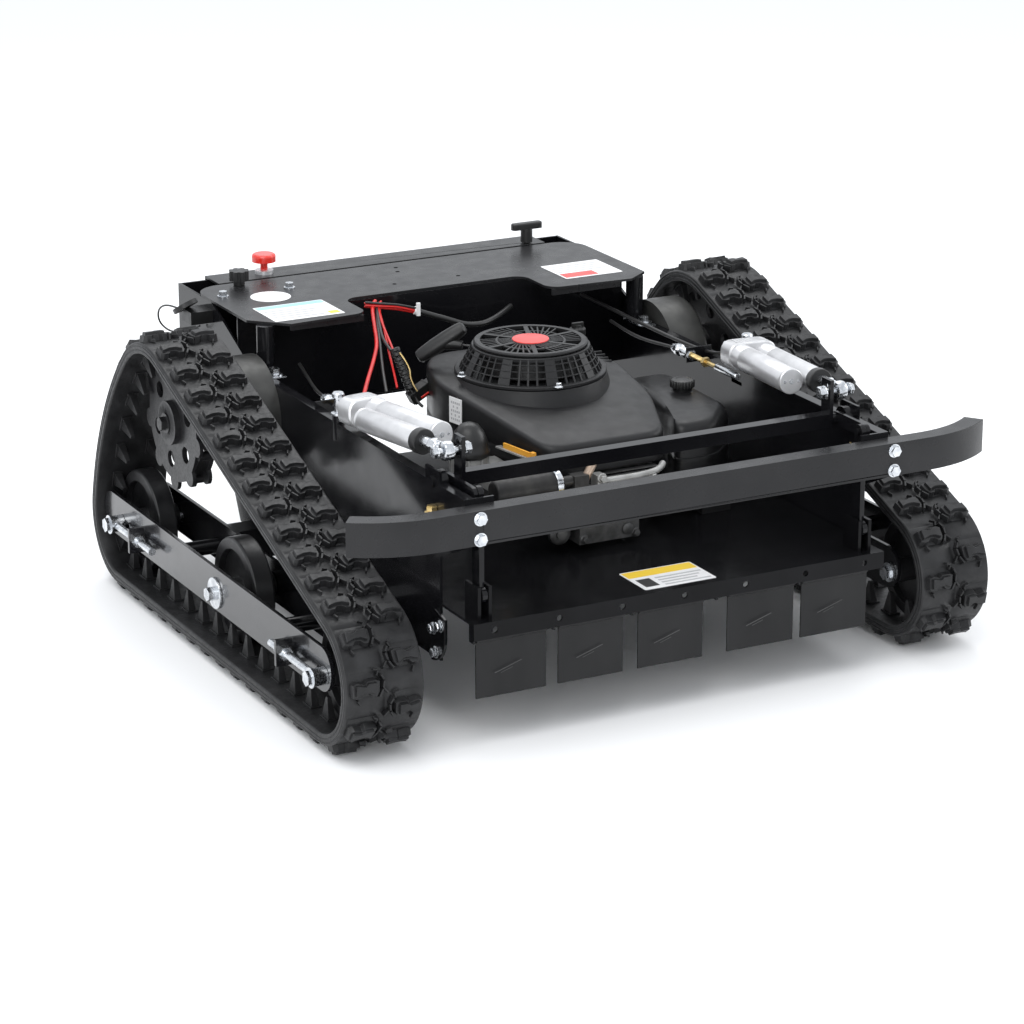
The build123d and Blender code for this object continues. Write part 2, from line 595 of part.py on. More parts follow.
def flap(x0, x1):
    """One hanging rubber flap with a rolled top round the hinge rod."""
    y, z = HINGE_Y, FLAP_Z[1]
    sheet = block(x0, x1, y - FLAP_T / 2, y + FLAP_T / 2, FLAP_Z[0], z)
    sheet += rod_x(5, x0, x1, y, z)
    return sheet - rod_x(3 + RUNNING, x0 - 1, x1 + 1, y, z)


def blade():
    """A two-ended mower blade with a raised hub."""
    bar = block(-BLADE_R, BLADE_R, CRANK_Y - 26, CRANK_Y + 26, BLADE_Z - 2, BLADE_Z + 2)
    bar = fillet(bar.edges().filter_by(Axis.Z), 8)
    for s in (-1, 1):
        x0, x1 = sorted((s * 170, s * 240))
        bar += block(x0, x1, CRANK_Y - s * 22 - 4, CRANK_Y - s * 22 + 4, BLADE_Z, BLADE_Z + 14)
    return bar - rod_z(6, BLADE_Z - 5, BLADE_Z + 5, 0, CRANK_Y)


def crankshaft():
    """The vertical crankshaft, with the blade boss and bolt at its lower end."""
    shaft = rod_z(CRANK_R, BLADE_Z + 2, COWL_TOP_Z - 52, 0, CRANK_Y)
    shaft += rod_z(24, BLADE_Z + 2, BLADE_Z + 16, 0, CRANK_Y)
    shaft += rod_z(6, BLADE_Z - 2, BLADE_Z + 2, 0, CRANK_Y)
    bolt = Pos(0, CRANK_Y, BLADE_Z - 2) * Rot(180, 0, 0) * bolt_head(19, 8, 16, 3)
    return shaft + bolt


# ---- engine ----------------------------------------------------------------------------
def engine_block():
    """Crankcase and horizontal cylinder, with the crankshaft's bore and a foot flange."""
    case = rod_z(96, DECK_Z, COWL_LOW_Z, 0, CRANK_Y)
    case += block(-78, 78, -262, CRANK_Y, DECK_Z + 36, COWL_LOW_Z)
    case += rod_z(118, DECK_Z, DECK_Z + 12, 0, CRANK_Y)
    for i in range(5):
        y = -250 + i * 24
        case += block(-90, 90, y, y + 6, DECK_Z + 44, COWL_LOW_Z - 8)
    return case - rod_z(CRANK_R + RUNNING, DECK_Z - 1, COWL_LOW_Z + 1, 0, CRANK_Y)


def cowl_outline(scale, inset):
    """The cowl's plan, narrower in front and broad at the middle, drawn in by inset."""
    points = [
        (-97, -272), (100, -272), (150, -140), (158, -20), (112, 90), (66, 132),
        (-84, 132), (-122, 84), (-146, 0), (-120, -140),
    ]
    mid = (0, -90)
    scaled = [(mid[0] + (x - mid[0]) * scale, mid[1] + (y - mid[1]) * scale) for x, y in points]
    face = make_face(Polyline(*scaled, close=True))
    face = fillet(face.vertices(), 26 * scale)
    return offset(face, -inset) if inset else face


def above_cowl(inset):
    """The space over the cowl's sloping top, which is lowest in front."""
    front, rear = COWL_FRONT_Z - inset, COWL_TOP_Z - 2 - inset
    side = Polyline((-300, front - 4), (-272, front), (20, rear), (200, rear), (200, 500), (-300, 500), close=True)
    return extrude(Plane.YZ * make_face(side), 200, both=True)


def cowl_body(inset):
    """The cowl as a solid, drawn in by inset on its sides and top."""
    shoulder, top = COWL_LOW_Z + 34, COWL_TOP_Z - inset
    wide, narrow = cowl_outline(1.0, inset), cowl_outline(0.72, inset)
    body = Pos(0, 0, COWL_LOW_Z) * extrude(wide, COWL_TOP_Z - COWL_LOW_Z) - above_cowl(inset)
    body += loft([Pos(0, 0, shoulder) * wide, Pos(0, 0, top) * narrow])
    return body + rod_z(RECOIL_BASE_R - inset, COWL_LOW_Z + 40, top, 0, CRANK_Y)


def engine_cowl():
    """The moulded cover over the engine, open under the recoil cover for the fan."""
    return cowl_body(0) - cowl_body(WALL) - rod_z(104, COWL_TOP_Z - 61, COWL_TOP_Z + 1, 0, CRANK_Y)


def recoil_cover():
    """The round starter cover: a hollow drum that narrows upwards, with side openings."""
    base = Pos(0, CRANK_Y, COWL_TOP_Z)
    height = RECOIL_TOP_Z - COWL_TOP_Z
    shell = base * loft([Circle(RECOIL_BASE_R), Pos(0, 0, height) * Circle(RECOIL_TOP_R)])
    inner = base * loft([Circle(RECOIL_BASE_R - 5), Pos(0, 0, height - 5) * Circle(RECOIL_TOP_R - 5)])
    cover = shell - inner
    for i in range(10):
        turn = Pos(0, CRANK_Y, 0) * Rot(0, 0, 18 + i * 36)
        cover -= turn * block(70, 130, -22, 22, COWL_TOP_Z + 10, RECOIL_TOP_Z - 14)
    for i in range(5):
        turn = Pos(0, CRANK_Y, 0) * Rot(0, 0, i * 72)
        cover -= turn * block(40, 74, -17, 17, RECOIL_TOP_Z - 10, RECOIL_TOP_Z + 1)
    return cover - starter_rope(ROPE_R + 4, 60)


def flywheel_fan():
    """The flywheel with its ring of fan blades, fixed on the crankshaft's top."""
    low = COWL_TOP_Z - 52
    disc = rod_z(60, low, low + 8, 0, CRANK_Y) + rod_z(94, low + 4, low + 12, 0, CRANK_Y)
    for i in range(14):
        turn = Pos(0, CRANK_Y, 0) * Rot(0, 0, i * 360 / 14)
        disc += turn * block(62, 92, -2, 2, low + 12, low + 44)
    return disc


def starter_grip():
    """A T-shaped pull grip: a bar and a tapered stem towards the cover."""
    bar_plane = Plane(GRIP - GRIP_BAR * 48, x_dir=PULL, z_dir=GRIP_BAR)
    bar = extrude(bar_plane * RectangleRounded(17, 22, 7), 96)
    stem = extrude(Plane(GRIP, z_dir=-1 * PULL) * Circle(8), 26)
    return bar + stem


def starter_rope(r, length):
    """The rope from the grip to the pulley under the recoil cover."""
    start = GRIP - PULL * 26
    return extrude(Plane(start, z_dir=-1 * PULL) * Circle(r), length)


def tank_outline(grow):
    """The tank's plan beside the cowl, grown outwards by grow."""
    points = [
        (128, -255), (196, -255), (262, -190), (264, 5), (252, 18),
        (186, 18), (178, -60), (152, -190),
    ]
    face = make_face(Polyline(*points, close=True))
    face = fillet(face.vertices(), 9)
    return offset(face, grow) if grow else face


def fuel_tank():
    """A moulded tank beside the cowl, in two halves with a seam flange, on two feet."""
    low, high = TANK_Z
    tank = Pos(0, 0, low) * extrude(tank_outline(0), high - low)
    tank = chamfer(tank.faces().sort_by(Axis.Z)[-1].edges(), 8)
    tank += Pos(0, 0, (low + high) / 2 - 4) * extrude(tank_outline(3), 4)
    tank += rod_z(15, high - 4, FUEL_CAP_Z, *FUEL_CAP_XY)
    return tank + [block(190, 240, y, y + 16, DECK_Z, low) for y in (-230, -20)]


def fuel_cap():
    """A ribbed screw cap."""
    outline = Circle(16)
    outline += PolarLocations(16, 12) * Circle(2)
    return Pos(*FUEL_CAP_XY, FUEL_CAP_Z) * extrude(outline, 14)


def oil_neck():
    """The oil filler neck behind the cowl."""
    return rod_z(9, DECK_Z, OIL_CAP_Z, *OIL_CAP_XY)


def oil_cap():
    """The dipstick cap on the filler neck."""
    return rod_z(13, OIL_CAP_Z, OIL_CAP_Z + 16, *OIL_CAP_XY)


def muffler():
    """A round silencer across the front left of the engine, on a bent exhaust pipe."""
    x0, x1 = MUFFLER_X
    can = rod_x(MUFFLER_R, x0, x1, MUFFLER_Y, MUFFLER_Z)
    can = fillet(can.edges().filter_by(GeomType.CIRCLE), 5)
    pipe = rod_x(8, x1 - 2, -60, MUFFLER_Y, MUFFLER_Z)
    elbow = block(-76, -52, MUFFLER_Y - 10, MUFFLER_Y + 10, 272, MUFFLER_Z + 8)
    return can + pipe + elbow + block(-76, -52, MUFFLER_Y - 10, -262, 272, 296)


# ---- lift ------------------------------------------------------------------------------
def lift_shaft():
    """A square bar with round ends, two upright levers and two arms for the deck links."""
    half = LIFT_BAR / 2
    shaft = block(-LIFT_BAR_X, LIFT_BAR_X, LIFT_Y - half, LIFT_Y + half, LIFT_Z - half, LIFT_Z + half)
    for s in (-1, 1):
        shaft += rod_x(8, *sorted((s * LIFT_BAR_X, s * (SIDE_X + 3))), LIFT_Y, LIFT_Z)
        x0, x1 = sorted((s * 300, s * 306))
        lever = block(x0, x1, LIFT_Y - 12, LIFT_Y + 12, LIFT_Z, ROD_Z + 20)
        slot_r = 6.5
        low, high = ROD_Z - 5, ROD_Z + 8
        lever -= block(x0 - 1, x1 + 1, LIFT_Y - slot_r, LIFT_Y + slot_r, low, high)
        lever -= rod_x(slot_r, x0 - 1, x1 + 1, LIFT_Y, low)
        lever -= rod_x(slot_r, x0 - 1, x1 + 1, LIFT_Y, high)
        shaft += lever
        x0, x1 = sorted((s * (LINK_X[1] + 1), s * (LINK_X[1] + 7)))
        arm = block(x0, x1, LINK_Y, LIFT_Y, LIFT_Z - 10, LIFT_Z + 10)
        shaft += arm + rod_x(10, x0, x1, LINK_Y, LIFT_Z) + rod_x(10, x0, x1, LIFT_Y, LIFT_Z)
        x0, x1 = LINK_X[0] - 3, LINK_X[1] + 1
        shaft += rod_x(5, *sorted((s * x0, s * x1)), LINK_Y, LIFT_Z)
    return shaft


def lift_links():
    """Flat links that hang from the arms and hook round the deck's pins in a long hole."""
    y = LINK_Y
    found = []
    for s in (-1, 1):
        x0, x1 = sorted((s * LINK_X[0], s * LINK_X[1]))
        link = block(x0, x1, y - 11, y + 11, LINK_LOW_Z, LIFT_Z)
        link += rod_x(11, x0, x1, y, LIFT_Z) + rod_x(11, x0, x1, y, LINK_LOW_Z)
        link += stadium_x(y - 22, y + 22, LINK_LOW_Z, 11, x0, x1)
        link -= rod_x(5 + RUNNING, x0 - 1, x1 + 1, y, LIFT_Z)
        link -= stadium_x(y - 17.5, y + 17.5, LINK_LOW_Z, 6.2, x0 - 1, x1 + 1)
        found.append(link)
    return found


def slanted(shape):
    """Turns a right-hand actuator shape about its front eye, rear end outwards."""
    eye = Pos(EYE_X, LIFT_Y, ROD_Z)
    return eye * Rot(0, 0, -ACTUATOR_SLANT) * eye.inverse() * shape


def actuator_body():
    """A linear actuator: rod tube, parallel motor, gear head and rear clevis."""
    y0, y1 = LIFT_Y + 62, LIFT_Y + 268
    tube = rod_y(14, y0, y1, EYE_X, ROD_Z)
    collar = rod_y(17, y0 - 14, y0, EYE_X, ROD_Z)
    motor = rod_y(20, y0 + 6, y1, EYE_X - 37, ROD_Z)
    head = block(EYE_X - 58, EYE_X + 16, y1, y1 + 34, ROD_Z - 21, ROD_Z + 21)
    head = fillet(head.edges().filter_by(Axis.Y), 12)
    tail = rod_y(8, y1 + 34, y1 + 52, EYE_X, ROD_Z) + rod_z(11, ROD_Z - 7, ROD_Z + 7, EYE_X, y1 + 58)
    body = tube + collar + motor + head + tail
    return slanted(body - rod_y(9 + RUNNING, y0 - 15, y1 - 8, EYE_X, ROD_Z))


def actuator_mount():
    """The rear foot of an actuator: a plate on the rail and a post to the clevis."""
    y = LIFT_Y + 268 + 58
    foot = slanted(rod_z(9, RAIL_Z + 4, ROD_Z - 7, EYE_X, y))
    x, y = foot.center().X, foot.center().Y
    return foot + block(SIDE_X - 16, x + 14, y - 16, y + 16, RAIL_Z, RAIL_Z + 4)


def actuator_rod():
    """The actuator's rod with its front eye and the pin in the lever's long hole."""
    rod = rod_y(9, LIFT_Y + 10, LIFT_Y + 230, EYE_X, ROD_Z)
    eye = rod_x(14, EYE_X - 9, EYE_X + 9, LIFT_Y, ROD_Z)
    pin = rod_x(5, 294, EYE_X + 14, LIFT_Y, ROD_Z)
    nut = Pos(294, LIFT_Y, ROD_Z) * Rot(0, -90, 0) * hexagon(17, 8)
    return slanted(rod) + eye + pin + nut


# ---- wiring ----------------------------------------------------------------------------
def cable(points, r):
    """A lead of round section along points, with one arc at each corner."""
    corners = [Vector(*p) for p in points]
    radii = []
    for a, b, c in zip(corners, corners[1:], corners[2:]):
        turn = math.radians((b - a).get_angle(c - b))
        run = min((b - a).length, (c - b).length)
        radii.append(0.45 * run / math.tan(turn / 2))
    path = FilletPolyline(*corners, radius=radii)
    section = Plane(path @ 0, z_dir=path % 0) * Circle(r)
    return sweep(section, path=path)


def lead_route():
    """From the bulkhead's top over to the rear face of the right-hand actuator's motor."""
    end = slanted(Pos(EYE_X - 37, LIFT_Y + 268 + 34, ROD_Z) * Box(1, 1, 1)).center()
    lean = math.radians(ACTUATOR_SLANT)
    before = end + Vector(math.sin(lean), math.cos(lean), 0) * 60
    wall = BAY_FRONT_Y - PLATE
    return [(132, wall, 420), (132, wall - 40, 420), (180, 190, 398), (240, 112, 384),
            (300, 40, 392), before, end]


def actuator_leads():
    """One lead to each lift actuator, from the bay."""
    return both_sides(cable(lead_route(), LEAD_R))


# ---- write every sub-part -------------------------------------------------------------
save_pair("frame_side", frame_side())
save("rear_bay", rear_bulkhead(), bay_tray())
save("bay_box", bay_box())
save("top_plate", top_plate())
save("rear_strip", rear_strip())
save("plate_posts", *plate_posts())
save("front_bumper", front_bumper())
save("frame_fasteners", *frame_fasteners())

save_pair("track_belt", track_belt())
save_pair("track_rail_outer", track_rail(RAIL_OUT_X, tabs=True))
save("track_rails_inner", *both_sides(track_rail(RAIL_IN_X, tabs=False)))
save("track_brackets", *both_sides(*track_brackets()))
save("middle_axles", *both_sides(middle_axle()))
save_pair("drive_motor", drive_motor())
save_pair("drive_sprocket", drive_sprocket(), sprocket_shaft())
save_pair("front_idler", wheel(FRONT_Y))
save_pair("middle_wheel", wheel(MIDDLE_Y))
save_pair("rear_idler", wheel(REAR_Y))
save_pair("front_tensioner", tensioner(FRONT_Y, 1))
save_pair("rear_tensioner", tensioner(REAR_Y, -1))

save("stop_base", stop_base())
save("stop_button", stop_button())
save("t_knob", t_knob())
save("star_knob", star_knob())
save("charge_socket", charge_socket())

save("deck_shell", deck_shell(), *link_pins())
save("flap_rod", flap_rod())
for number, span in enumerate(FLAP_SPANS, 1):
    save(f"flap_{number}", flap(*span))
save("blade", blade())
save("crankshaft", crankshaft())
save("flywheel_fan", flywheel_fan())
save("engine_block", engine_block(), oil_neck())
save("engine_cowl", engine_cowl())
save("recoil_cover", recoil_cover())
save("starter_grip", starter_grip(), starter_rope(ROPE_R, ROPE_LENGTH))
save("fuel_tank", fuel_tank())
save("fuel_cap", fuel_cap())
save("oil_cap", oil_cap())
save("muffler", muffler())

save("lift_shaft", lift_shaft())
save("lift_links", *lift_links())
save_pair("actuator_body", actuator_body(), actuator_mount())
save_pair("actuator_rod", actuator_rod())
save("actuator_leads", *actuator_leads())
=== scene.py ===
import json
import math

import bpy
from mathutils import Matrix, Vector


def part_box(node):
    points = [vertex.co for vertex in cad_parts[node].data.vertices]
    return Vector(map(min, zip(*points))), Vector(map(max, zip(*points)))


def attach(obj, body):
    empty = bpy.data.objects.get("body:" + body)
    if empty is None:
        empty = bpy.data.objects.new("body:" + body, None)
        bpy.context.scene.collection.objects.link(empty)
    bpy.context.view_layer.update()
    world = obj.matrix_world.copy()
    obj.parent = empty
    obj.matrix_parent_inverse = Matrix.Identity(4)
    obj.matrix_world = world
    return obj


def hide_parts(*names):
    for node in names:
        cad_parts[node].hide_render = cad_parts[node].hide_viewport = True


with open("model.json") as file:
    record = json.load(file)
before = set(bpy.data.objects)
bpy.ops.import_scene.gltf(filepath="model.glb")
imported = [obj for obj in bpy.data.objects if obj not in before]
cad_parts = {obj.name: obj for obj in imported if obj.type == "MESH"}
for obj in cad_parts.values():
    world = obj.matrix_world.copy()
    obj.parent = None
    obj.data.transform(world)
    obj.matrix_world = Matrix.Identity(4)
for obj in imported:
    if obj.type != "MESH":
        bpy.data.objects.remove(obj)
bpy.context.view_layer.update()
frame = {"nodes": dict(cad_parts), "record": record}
nodes = frame["nodes"]

MM = 0.001
X_AXIS, Y_AXIS, Z_AXIS = Vector((1, 0, 0)), Vector((0, 1, 0)), Vector((0, 0, 1))


# ---- camera, floor, light --------------------------------------------------------------
def make_camera():
    data = bpy.data.cameras.new("camera")
    data.lens = 123.05
    data.sensor_width = 36.0
    data.clip_end = 60.0
    camera = bpy.data.objects.new("camera", data)
    camera.location = (-2.4028, -4.5492, 1.8559)
    camera.rotation_euler = (math.radians(71.7), 0, math.radians(-27.7))
    bpy.context.scene.collection.objects.link(camera)
    bpy.context.scene.camera = camera


def area_light(name, place, aim, size, power, shape="RECTANGLE"):
    data = bpy.data.lights.new(name, "AREA")
    data.shape = shape
    data.size, data.size_y = size
    data.energy = power
    light = bpy.data.objects.new(name, data)
    light.location = place
    light.rotation_euler = (Vector(aim) - Vector(place)).to_track_quat("-Z", "Y").to_euler()
    bpy.context.scene.collection.objects.link(light)


def make_studio():
    scene = bpy.context.scene
    scene.view_settings.view_transform = "Standard"
    world = bpy.data.worlds.new("studio")
    scene.world = world
    world.use_nodes = True
    back = world.node_tree.nodes["Background"]
    back.inputs["Color"].default_value = (0.93, 0.96, 1.0, 1)
    back.inputs["Strength"].default_value = 1.05
    mesh = bpy.data.meshes.new("floor")
    reach = 40.0
    mesh.from_pydata([(-reach, -reach, 0), (reach, -reach, 0), (reach, reach, 0), (-reach, reach, 0)],
                     [], [(0, 1, 2, 3)])
    floor = bpy.data.objects.new("floor", mesh)
    scene.collection.objects.link(floor)
    floor.data.materials.append(plain_material("floor_white", (0.95, 0.95, 0.95), 0.8))
    area_light("key", (-1.6, -1.2, 3.2), (0, 0, 0.2), (2.6, 2.0), 50)
    area_light("top", (0.6, 1.6, 3.0), (0, 0.1, 0.3), (3.0, 1.6), 40)
    area_light("front", (-2.6, -3.2, 1.3), (0, -0.2, 0.25), (1.8, 1.0), 26)
    area_light("right", (3.0, -0.8, 1.6), (0, 0, 0.2), (1.2, 1.6), 22)


# ---- materials -------------------------------------------------------------------------
def plain_material(name, colour, rough, metal=0.0):
    mat = bpy.data.materials.new(name)
    mat.use_nodes = True
    shader = mat.node_tree.nodes["Principled BSDF"]
    shader.inputs["Base Color"].default_value = (*colour, 1)
    shader.inputs["Roughness"].default_value = rough
    shader.inputs["Metallic"].default_value = metal
    return mat


def surface(name, dark, light, rough, metal=0.0, cloud=12.0, grain=700.0, bump=0.08,
            coat=0.0, stretch=(1, 1, 1), specular=0.5):
    """A finish with cloudy colour and gloss, and a fine grain in its bump."""
    mat = plain_material(name, light, rough[0], metal)
    tree = mat.node_tree
    shader = tree.nodes["Principled BSDF"]
    shader.inputs["Coat Weight"].default_value = coat
    shader.inputs["Coat Roughness"].default_value = 0.08
    shader.inputs["Specular IOR Level"].default_value = specular
    coords = tree.nodes.new("ShaderNodeTexCoord")
    mapping = tree.nodes.new("ShaderNodeMapping")
    mapping.inputs["Scale"].default_value = stretch
    tree.links.new(coords.outputs["Object"], mapping.inputs["Vector"])

    def noise(scale, detail):
        node = tree.nodes.new("ShaderNodeTexNoise")
        node.inputs["Scale"].default_value = scale
        node.inputs["Detail"].default_value = detail
        tree.links.new(mapping.outputs["Vector"], node.inputs["Vector"])
        return node

    clouds, fine = noise(cloud, 6.0), noise(grain, 3.0)
    ramp = tree.nodes.new("ShaderNodeValToRGB")
    ramp.color_ramp.elements[0].position = 0.32
    ramp.color_ramp.elements[0].color = (*dark, 1)
    ramp.color_ramp.elements[1].position = 0.7
    ramp.color_ramp.elements[1].color = (*light, 1)
    tree.links.new(clouds.outputs["Fac"], ramp.inputs["Fac"])
    tree.links.new(ramp.outputs["Color"], shader.inputs["Base Color"])
    spread = tree.nodes.new("ShaderNodeMapRange")
    spread.inputs["From Min"].default_value = 0.3
    spread.inputs["From Max"].default_value = 0.7
    spread.inputs["To Min"].default_value = rough[0]
    spread.inputs["To Max"].default_value = rough[1]
    mix = noise(cloud * 5, 8.0)
    tree.links.new(mix.outputs["Fac"], spread.inputs["Value"])
    tree.links.new(spread.outputs["Result"], shader.inputs["Roughness"])
    relief = tree.nodes.new("ShaderNodeBump")
    relief.inputs["Strength"].default_value = bump
    relief.inputs["Distance"].default_value = 0.0004
    tree.links.new(fine.outputs["Fac"], relief.inputs["Height"])
    tree.links.new(relief.outputs["Normal"], shader.inputs["Normal"])
    return mat


FINISH = {
    "frame_paint": surface("frame_paint", (0.004, 0.004, 0.005), (0.009, 0.009, 0.01), (0.12, 0.2),
                           cloud=6, grain=260, bump=0.02, coat=0.12, specular=0.2),
    "plate_paint": surface("plate_paint", (0.012, 0.012, 0.013), (0.019, 0.019, 0.02), (0.24, 0.34),
                           cloud=8, grain=900, bump=0.1, specular=0.26),
    "track_rubber": surface("track_rubber", (0.007, 0.007, 0.0075), (0.019, 0.019, 0.02), (0.34, 0.55),
                            cloud=40, grain=420, bump=0.45, specular=0.36),
    "wheel_rubber": surface("wheel_rubber", (0.008, 0.008, 0.009), (0.018, 0.018, 0.019), (0.28, 0.44),
                            cloud=20, grain=500, bump=0.15, specular=0.4),
    "cast_black": surface("cast_black", (0.007, 0.007, 0.008), (0.02, 0.02, 0.021), (0.3, 0.48),
                          cloud=60, grain=340, bump=0.4, specular=0.4),
    "zinc": surface("zinc", (0.5, 0.52, 0.55), (0.8, 0.82, 0.84), (0.16, 0.32), metal=1.0,
                    cloud=90, grain=900, bump=0.06),
    "motor_shell": surface("motor_shell", (0.03, 0.03, 0.029), (0.07, 0.07, 0.066), (0.34, 0.5), metal=0.4,
                           cloud=20, grain=600, bump=0.15),
    "alloy": surface("alloy", (0.6, 0.6, 0.61), (0.76, 0.76, 0.77), (0.3, 0.42), metal=0.75,
                     cloud=26, grain=1200, bump=0.15),
    "engine_alloy": surface("engine_alloy", (0.05, 0.05, 0.05), (0.13, 0.13, 0.13), (0.35, 0.55), metal=0.7,
                            cloud=50, grain=260, bump=0.5),
    "cowl_plastic": surface("cowl_plastic", (0.009, 0.009, 0.0095), (0.015, 0.015, 0.016), (0.34, 0.46),
                            cloud=10, grain=1500, bump=0.35, specular=0.3),
    "tank_plastic": surface("tank_plastic", (0.007, 0.007, 0.0075), (0.012, 0.012, 0.0125), (0.3, 0.42),
                            cloud=12, grain=1100, bump=0.2, specular=0.27),
    "knob_plastic": surface("knob_plastic", (0.009, 0.009, 0.009), (0.017, 0.017, 0.017), (0.3, 0.42),
                            cloud=30, grain=1300, bump=0.25, specular=0.42),
    "stop_red": surface("stop_red", (0.62, 0.02, 0.015), (0.74, 0.035, 0.02), (0.14, 0.22),
                        cloud=30, grain=900, bump=0.03, coat=0.4),
    "flap_rubber": surface("flap_rubber", (0.008, 0.008, 0.0085), (0.014, 0.014, 0.0145), (0.3, 0.42),
                           cloud=14, grain=420, bump=0.12, stretch=(1, 1, 0.4), specular=0.25),
    "exhaust_steel": surface("exhaust_steel", (0.02, 0.02, 0.021), (0.055, 0.053, 0.05), (0.4, 0.6),
                             metal=0.6,
                             cloud=30, grain=300, bump=0.3),
    "blade_steel": surface("blade_steel", (0.2, 0.2, 0.21), (0.36, 0.36, 0.37), (0.3, 0.45), metal=0.9,
                           cloud=30, grain=500, bump=0.2),
    "lead_jacket": surface("lead_jacket", (0.5, 0.01, 0.01), (0.66, 0.02, 0.016), (0.28, 0.36),
                           cloud=30, grain=600, bump=0.1),
}
RAIL_GLOSS = surface("rail_gloss", (0.006, 0.006, 0.007), (0.012, 0.012, 0.014), (0.16, 0.26),
                     cloud=6, grain=260, bump=0.03, coat=0.5, specular=0.5)
# The deck shell's paint is the plates' black made darker as painted shade, for the deck lying in shade under
# the bumper, and it has a lower specular level.
DECK_PAINTED_SHADE = surface("deck_painted_shade", (0.004, 0.004, 0.0045), (0.008, 0.008, 0.009), (0.14, 0.24),
                     cloud=8, grain=700, bump=0.05, specular=0.12)
SOFT_WHITE = surface("label_white", (0.78, 0.78, 0.78), (0.86, 0.86, 0.86), (0.3, 0.4), bump=0.02)
LABEL_YELLOW = surface("label_yellow", (0.82, 0.55, 0.03), (0.88, 0.62, 0.05), (0.3, 0.4), bump=0.02)
LABEL_RED = surface("label_red", (0.72, 0.05, 0.05), (0.8, 0.08, 0.07), (0.3, 0.4), bump=0.02)
LABEL_BLUE = surface("label_blue", (0.3, 0.55, 0.75), (0.38, 0.62, 0.8), (0.3, 0.4), bump=0.02)
LABEL_GREY = surface("label_grey", (0.42, 0.42, 0.43), (0.52, 0.52, 0.53), (0.4, 0.5), bump=0.02)
BRASS = surface("yellow_zinc", (0.5, 0.36, 0.14), (0.72, 0.56, 0.28), (0.25, 0.38), metal=1.0,
                cloud=80, grain=800, bump=0.1)
PIPE_TAN = surface("heated_pipe", (0.42, 0.3, 0.22), (0.62, 0.5, 0.4), (0.3, 0.45), metal=0.8,
                   cloud=40, grain=500, bump=0.15)
CAST_ALLOY = surface("cast_alloy", (0.3, 0.3, 0.29), (0.46, 0.46, 0.45), (0.4, 0.55), metal=0.6,
                     cloud=50, grain=380, bump=0.5)
WIRE_BLACK = surface("wire_black", (0.01, 0.01, 0.01), (0.02, 0.02, 0.02), (0.35, 0.45), bump=0.1)
ORANGE = surface("tag_orange", (0.75, 0.33, 0.03), (0.85, 0.42, 0.05), (0.35, 0.45), bump=0.05)
SCRATCH = surface("rubber_scuff", (0.035, 0.035, 0.035), (0.075, 0.075, 0.075), (0.4, 0.5), bump=0.1)


# ---- mesh helpers: every size in millimetres -------------------------------------------
def cuboid(x0, x1, y0, y1, z0, z1):
    points = [(x, y, z) for x in (x0, x1) for y in (y0, y1) for z in (z0, z1)]
    faces = [(0, 1, 3, 2), (4, 6, 7, 5), (0, 4, 5, 1), (2, 3, 7, 6), (0, 2, 6, 4), (1, 5, 7, 3)]
    return points, faces


def prism(outline, z0, z1, taper=0.0):
    """A solid over a convex or simple outline; the top is drawn in by taper (mm)."""
    n = len(outline)
    mid = (sum(p[0] for p in outline) / n, sum(p[1] for p in outline) / n)
    top = []
    for x, y in outline:
        reach = math.hypot(x - mid[0], y - mid[1])
        k = 1 - taper / reach if reach > 0 else 1
        top.append((mid[0] + (x - mid[0]) * k, mid[1] + (y - mid[1]) * k, z1))
    points = [(x, y, z0) for x, y in outline] + top
    faces = [tuple(reversed(range(n))), tuple(range(n, 2 * n))]
    faces += [(i, (i + 1) % n, n + (i + 1) % n, n + i) for i in range(n)]
    return points, faces


def turned(profile, steps=48):
    """A solid of revolution about local Z from (radius, height) pairs."""
    points, faces = [], []
    for r, z in profile:
        for i in range(steps):
            a = 2 * math.pi * i / steps
            points.append((r * math.cos(a), r * math.sin(a), z))
    for k in range(len(profile) - 1):
        for i in range(steps):
            j = (i + 1) % steps
            faces.append((k * steps + i, k * steps + j, (k + 1) * steps + j, (k + 1) * steps + i))
    last = (len(profile) - 1) * steps
    faces.append(tuple(reversed(range(steps))))
    faces.append(tuple(range(last, last + steps)))
    return points, faces


def placed(shape, matrix):
    points, faces = shape
    return [tuple(matrix @ Vector(p)) for p in points], faces


def frame_at(place, axis, spin=0.0):
    """Local Z along axis, at a place in millimetres."""
    turn = Vector(axis).to_track_quat("Z", "Y").to_matrix().to_4x4()
    return Matrix.Translation(Vector(place)) @ turn @ Matrix.Rotation(spin, 4, "Z")


def along(place, axis, profile, steps=48):
    return placed(turned(profile, steps), frame_at(place, axis))


def build(name, parts, finish, body, replaces=(), bevel=0.0, segments=2,
          angle=35.0, subdivide=0):
    """Makes one piece from parts in millimetres, rides it on a body and gives it a finish."""
    points, faces = [], []
    for part_points, part_faces in parts:
        start = len(points)
        points += [(x * MM, y * MM, z * MM) for x, y, z in part_points]
        faces += [tuple(start + i for i in face) for face in part_faces]
    mesh = bpy.data.meshes.new(name)
    mesh.from_pydata(points, [], faces)
    mesh.validate()
    mesh.update()
    piece = bpy.data.objects.new(name, mesh)
    bpy.context.scene.collection.objects.link(piece)
    dress(piece, finish, bevel, segments, angle, subdivide)
    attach(piece, body)
    if replaces:
        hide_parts(*replaces)
    return piece


